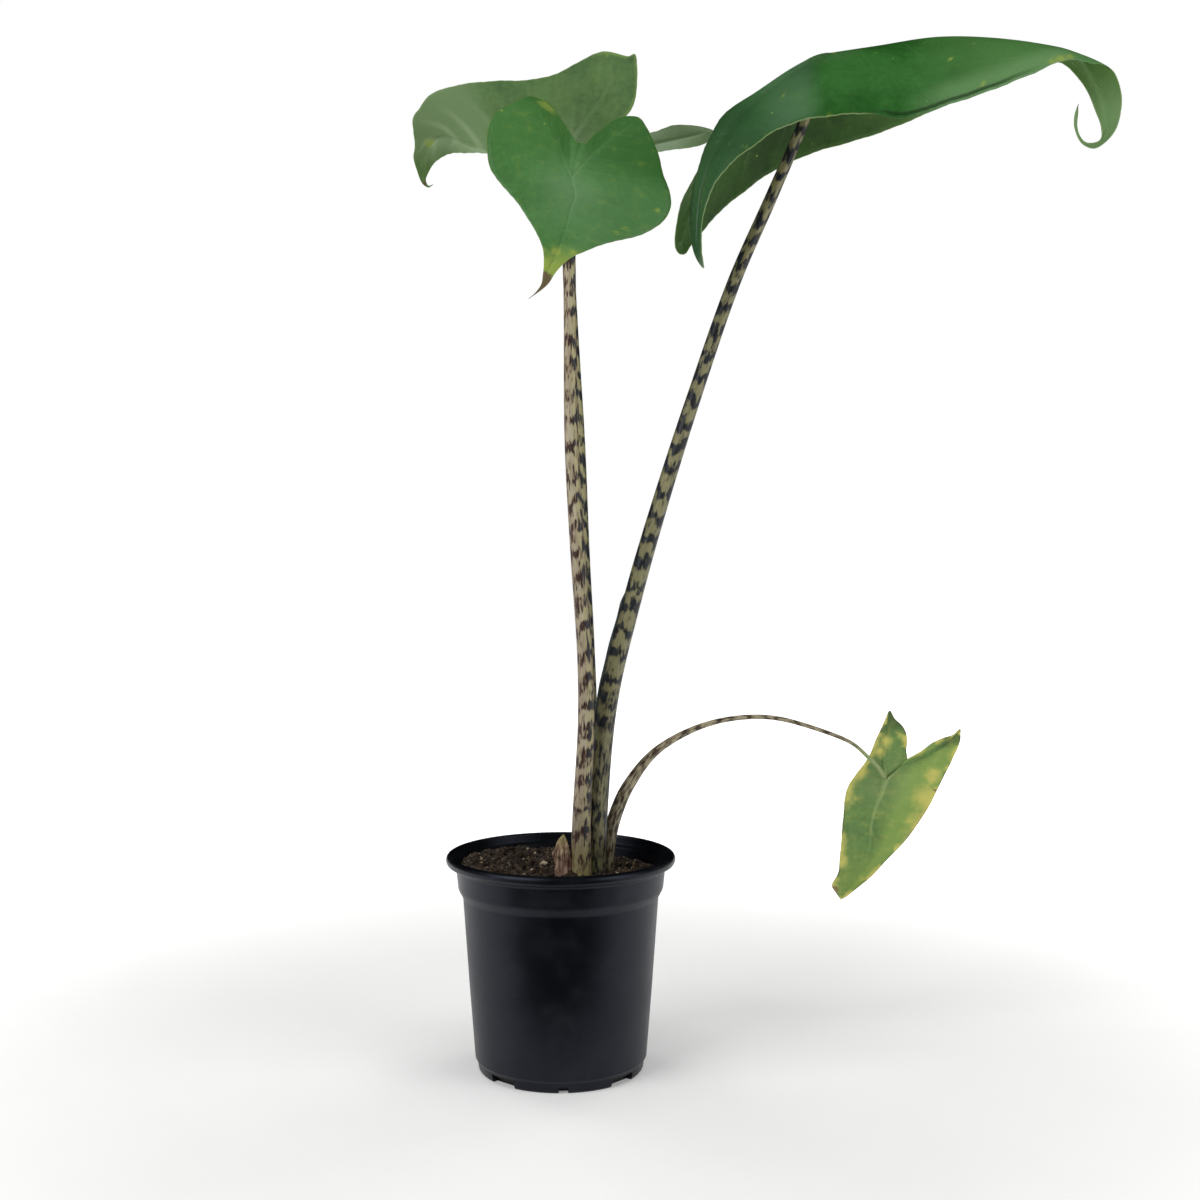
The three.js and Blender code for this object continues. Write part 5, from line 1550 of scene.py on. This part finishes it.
# %% [markdown]
# ## Scattered grains
# Peat breaks into crumbs, and growers mix in perlite, white puffed volcanic glass that keeps the soil airy.
# Scattering is a rule, so Geometry Nodes do it: points spread over the soil's top, a lumpy grain on each,
# turned and stretched at random from a fixed seed. Each grain has only a few dozen faces.

# %% Scattered grains
SHORTEST, LONGEST = 0.7, 1.3  # a grain's sides, as shares of its size
FULL_TURN = 6.28
TONE_SEED = 77


def scatter_rule():
    """A Geometry Nodes tree that strews lumpy grains over a surface."""
    tree, given = rule("grains_on_surface", [
        ("Ground", "Geometry", None), ("Density", "Float", 1000.0), ("Seed", "Int", 1),
        ("Spacing", "Float", 0.001), ("Smallest", "Float", 0.0005), ("Largest", "Float", 0.002),
        ("Length", "Float", 1.0), ("Lumps", "Float", 0.35), ("Faces", "Int", 2),
        ("Grain", "Material", None)], "Grains")
    points = add(tree, "GeometryNodeDistributePointsOnFaces", {
        "Mesh": given["Ground"], "Distance Min": given["Spacing"],
        "Density Max": given["Density"], "Seed": given["Seed"]}, distribute_method="POISSON")
    ball = add(tree, "GeometryNodeMeshIcoSphere", {"Radius": 1.0, "Subdivisions": given["Faces"]})
    lump = add(tree, "ShaderNodeTexNoise", {"Scale": 1.1, "Detail": 2})
    centred = add(tree, "ShaderNodeVectorMath", {0: lump.outputs["Color"], 1: (0.5, 0.5, 0.5)},
                  operation="SUBTRACT")
    strong = add(tree, "ShaderNodeMath", {0: given["Lumps"], 1: 3.0}, operation="MULTIPLY")
    shift = add(tree, "ShaderNodeVectorMath", {0: centred, "Scale": strong}, operation="SCALE")
    grain = add(tree, "GeometryNodeSetPosition", {"Geometry": ball.outputs["Mesh"], "Offset": shift})
    turn = add(tree, "FunctionNodeRandomValue", {"Min": (0, 0, 0), "Max": (FULL_TURN,) * 3,
                                                 "Seed": given["Seed"]}, data_type="FLOAT_VECTOR")
    size = add(tree, "FunctionNodeRandomValue", {"Min": 0.0, "Max": 1.0, "Seed": given["Seed"]},
               data_type="FLOAT")
    few_large = add(tree, "ShaderNodeMath", {0: size, 1: 2.5}, operation="POWER")
    scale = add(tree, "ShaderNodeMapRange", {"Value": few_large, "From Min": 0, "From Max": 1,
                                             "To Min": given["Smallest"],
                                             "To Max": given["Largest"]})
    stretch = add(tree, "FunctionNodeRandomValue", {"Min": (SHORTEST,) * 3, "Max": (LONGEST,) * 3,
                                                    "Seed": given["Seed"]}, data_type="FLOAT_VECTOR")
    longer = add(tree, "ShaderNodeCombineXYZ", {"X": given["Length"], "Y": 1.0, "Z": 1.0})
    formed = add(tree, "ShaderNodeVectorMath", {0: stretch, 1: longer}, operation="MULTIPLY")
    sized = add(tree, "ShaderNodeVectorMath", {0: formed, "Scale": scale}, operation="SCALE")
    strewn = add(tree, "GeometryNodeInstanceOnPoints", {
        "Points": points.outputs["Points"], "Instance": grain, "Rotation": turn, "Scale": sized})
    tone = add(tree, "FunctionNodeRandomValue", {"Min": 0.0, "Max": 1.0, "Seed": TONE_SEED},
               data_type="FLOAT")
    toned = add(tree, "GeometryNodeStoreNamedAttribute", {"Geometry": strewn, "Name": "tone", "Value": tone},
                data_type="FLOAT", domain="INSTANCE")
    real = add(tree, "GeometryNodeRealizeInstances", {"Geometry": toned})
    dressed = add(tree, "GeometryNodeSetMaterial", {"Geometry": real, "Material": given["Grain"]})
    add(tree, "NodeGroupOutput", {"Grains": dressed})
    return tree


tree = scatter_rule()
print(tree.name, "has", len(tree.nodes), "nodes")

# %% [markdown]
# ## Crumbs, bark and perlite
# Five kinds of grain lie on the soil: small and large crumbs, a few slivers of bark, and perlite as grains
# and as dust. Each kind is one run of the tree with its own sizes and seed. The ground that a kind falls on
# ends far enough from the wall for its longest grain, so that none sticks through the pot.

# %% Crumbs, bark and perlite
STAIN = 1.6
WALL_ROOM = 0.6


def perlite():
    """Puffed volcanic glass: chalky, off-white and stained by the peat round it."""
    made, tree, shader = material("perlite_grain", Roughness=0.9)
    stain = cloud(tree, millimetres(tree), STAIN, STAIN, 4)
    joined(tree, shader, Base_Color=coated(tree, "#beb294", "#85765c", (stain, 0.35, 0.7)))
    return made


GRAINS = {
    "peat_crumbs_small": dict(Density=190000.0, Seed=3, Spacing=0.0012, Smallest=0.0006, Largest=0.0016,
                              Lumps=0.3, Faces=1, Grain=peat("peat_crumb_small", ("#312a27", "#5c5146"))),
    "peat_crumbs_large": dict(Density=60000.0, Seed=8, Spacing=0.0034, Smallest=0.0011, Largest=0.0034,
                              Lumps=0.4, Faces=2, Grain=peat("peat_crumb_large", ("#1d1815", "#473b31"))),
    "bark_slivers": dict(Density=5000.0, Seed=21, Spacing=0.005, Smallest=0.0004, Largest=0.0009, Length=7.0,
                         Lumps=0.2, Faces=1, Grain=peat("dry_bark_sliver", ("#4f3d2c", "#8a7152"))),
    "perlite_grains": dict(Density=5600.0, Seed=14, Spacing=0.006, Smallest=0.0008, Largest=0.0024,
                           Lumps=0.35, Faces=2, Grain=perlite()),
    "perlite_dust": dict(Density=30000.0, Seed=31, Spacing=0.0028, Smallest=0.0003, Largest=0.0008,
                         Lumps=0.3, Faces=1, Grain=perlite()),
}
for name, values in GRAINS.items():
    ground = soil_top.copy()
    longest = values["Largest"] * LONGEST * values.get("Length", 1.0)
    work = bmesh.new()
    work.from_mesh(ground)
    limit = SOIL_EDGE * MM - longest + WALL_ROOM * MM
    past = [v for v in work.verts if v.co.xy.length > limit]
    bmesh.ops.delete(work, geom=past, context="VERTS")
    work.to_mesh(ground)
    work.free()
    finished(name, grown(bpy.data.objects.new(name, ground), tree, **values), None)

# %% [markdown]
# ## The dried sheath
# An old leaf base has dried to a papery stub in front of the stalks. It is a crumpled cone with a torn
# point, so its rings follow the plain solid's path, while folds that run up it and a crooked top rim break
# the circle.

# %% The dried sheath
FOLDS = [(0.14, 5, 5, 0), (0.11, 9, -9, 1)]  # each set's depth, number round the stub, twist and start
PINCHED, STUB_FULL = 0.1, 1.06
CREASED, CREASE_SIDE, CREASE_TWIST, CREASE_NARROW = 0.22, 1.75, 0.7, 0.1
DENTED, DENTS_ROUND, DENTS_UP = 0.3, 2.6, 7


def crumpled(table, sides=64, rings=60):
    """A papery stub along a path, with folds up its side."""
    at = np.linspace(0, 1, rings)
    middle, radius = path(table, at)
    points, faces = [], []
    for i in range(rings):
        for j in range(sides):
            a = 2 * math.pi * j / sides
            fold = sum(deep * math.sin(count * a + twist * at[i] + start)
                       for deep, count, twist, start in FOLDS) - PINCHED
            off = math.sin((a + CREASE_SIDE - CREASE_TWIST * at[i]) / 2)
            crease = -CREASED * math.exp(-(off / CREASE_NARROW) ** 2)
            place = Vector((DENTS_ROUND * math.cos(a), DENTS_ROUND * math.sin(a), DENTS_UP * at[i]))
            dent = DENTED * noise.noise(place)
            r = radius[i] * (STUB_FULL + (fold + crease + dent) * min(1, 3 * at[i]))
            x, y, z = middle[i] + r * np.array([math.cos(a), math.sin(a), 0])
            points.append((x * MM, y * MM, z * MM))
    for i in range(rings - 1):
        for j in range(sides):
            k = (j + 1) % sides
            faces.append((i * sides + j, i * sides + k, (i + 1) * sides + k, (i + 1) * sides + j))
    faces.append(tuple(reversed(range(sides))))
    faces.append(tuple((rings - 1) * sides + j for j in range(sides)))
    mesh = bpy.data.meshes.new("crumpled")
    mesh.from_pydata(points, [], faces)
    mesh.shade_smooth()
    return mesh


mesh = crumpled(DRIED_SHEATH)
print("the dried sheath has", len(mesh.polygons), "faces")

# %% [markdown]
# ## Dry leaf skin
# Dry leaf tissue is matt and fibrous. It keeps a pinkish tint at its foot and a trace of green at its tip,
# and browns in patches. The fibres run up the stub, so their noise has cells that are long in that direction.

# %% Dry leaf skin
PAPER_FIBRE, PAPER_PATCH = (1.1, 9, 4), (3.5, 6, 2)
FIBRE_DEPTH = 0.5


def dried_skin():
    """Dry leaf skin: pinkish at its foot, beige above, with pale fibres, brown creases and an olive tip."""
    made, tree, shader = material("dried_papery_sheath", Roughness=0.75, Specular_IOR_Level=0.25)
    mm = millimetres(tree)
    fibre, patch = cloud(tree, mm, *PAPER_FIBRE), cloud(tree, mm, *PAPER_PATCH)
    height = add(tree, "ShaderNodeSeparateXYZ", {0: mm}).outputs["Z"]
    paper = coated(tree, "#6f5443", "#b9a188", (fibre, 0.36, 0.64))
    paper = coated(tree, paper, "#97766a", (height, 146, 133), most=0.7)
    paper = coated(tree, paper, "#57402f", (patch, 0.5, 0.62), most=0.6)
    paper = coated(tree, paper, "#9a9062", (height, 147, 156), most=0.75)
    bump = add(tree, "ShaderNodeBump", {"Strength": 1.0, "Distance": FIBRE_DEPTH * MM, "Height": fibre})
    joined(tree, shader, Base_Color=paper, Normal=bump)
    return made


mesh.materials.append(dried_skin())
finished("dried_sheath_paper", mesh, "dried_sheath")

# %% [markdown]
# ## The corm
# Under the soil the stalks grow from a corm, a short swollen stem ringed by the scars of old leaves. It is
# an outline turned about the corm's own axis and is never seen, but it is finished like the rest.

# %% The corm
CORM_AT, CORM_REACH = (19, 3, 90), (19, 15, 21)
CORM_STEPS, CORM_SIDES = 40, 48
SCAR, SCARS = 0.03, 1.9
outline = []
for i in range(CORM_STEPS + 1):
    angle = math.pi * (i / CORM_STEPS - 0.5)
    ring = 1 + SCAR * math.sin(i * SCARS)
    reach = max(0.0, math.cos(angle) * ring * 0.95) if 0 < i < CORM_STEPS else 0.0
    outline.append((reach, math.sin(angle) * 0.98))
corm_mesh = turned(np.array(outline), CORM_SIDES)
for vertex in corm_mesh.vertices:
    x, y, z = vertex.co / MM
    vertex.co = Vector([(c + r * p) * MM for c, r, p in zip(CORM_AT, CORM_REACH, (x, y, z))])
corm_mesh.shade_smooth()
corm_mesh.materials.append(peat("fibrous_corm_skin", ("#4a3323", "#7d5f45")))
finished("corm_body", corm_mesh, "corm")

# %% [markdown]
# ## Sizes, and the end
# The finished plant has to keep the size of the plain model. Both boxes are written down, so that they can
# be compared.

# %% Sizes, and the end
finished_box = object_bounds()
boxes = {"cad": [list(corner) for corner in cad_box], "visual": [list(corner) for corner in finished_box]}
for name, (low, high) in boxes.items():
    print(name, "box in mm:", [round((b - a) / MM, 1) for a, b in zip(low, high)])
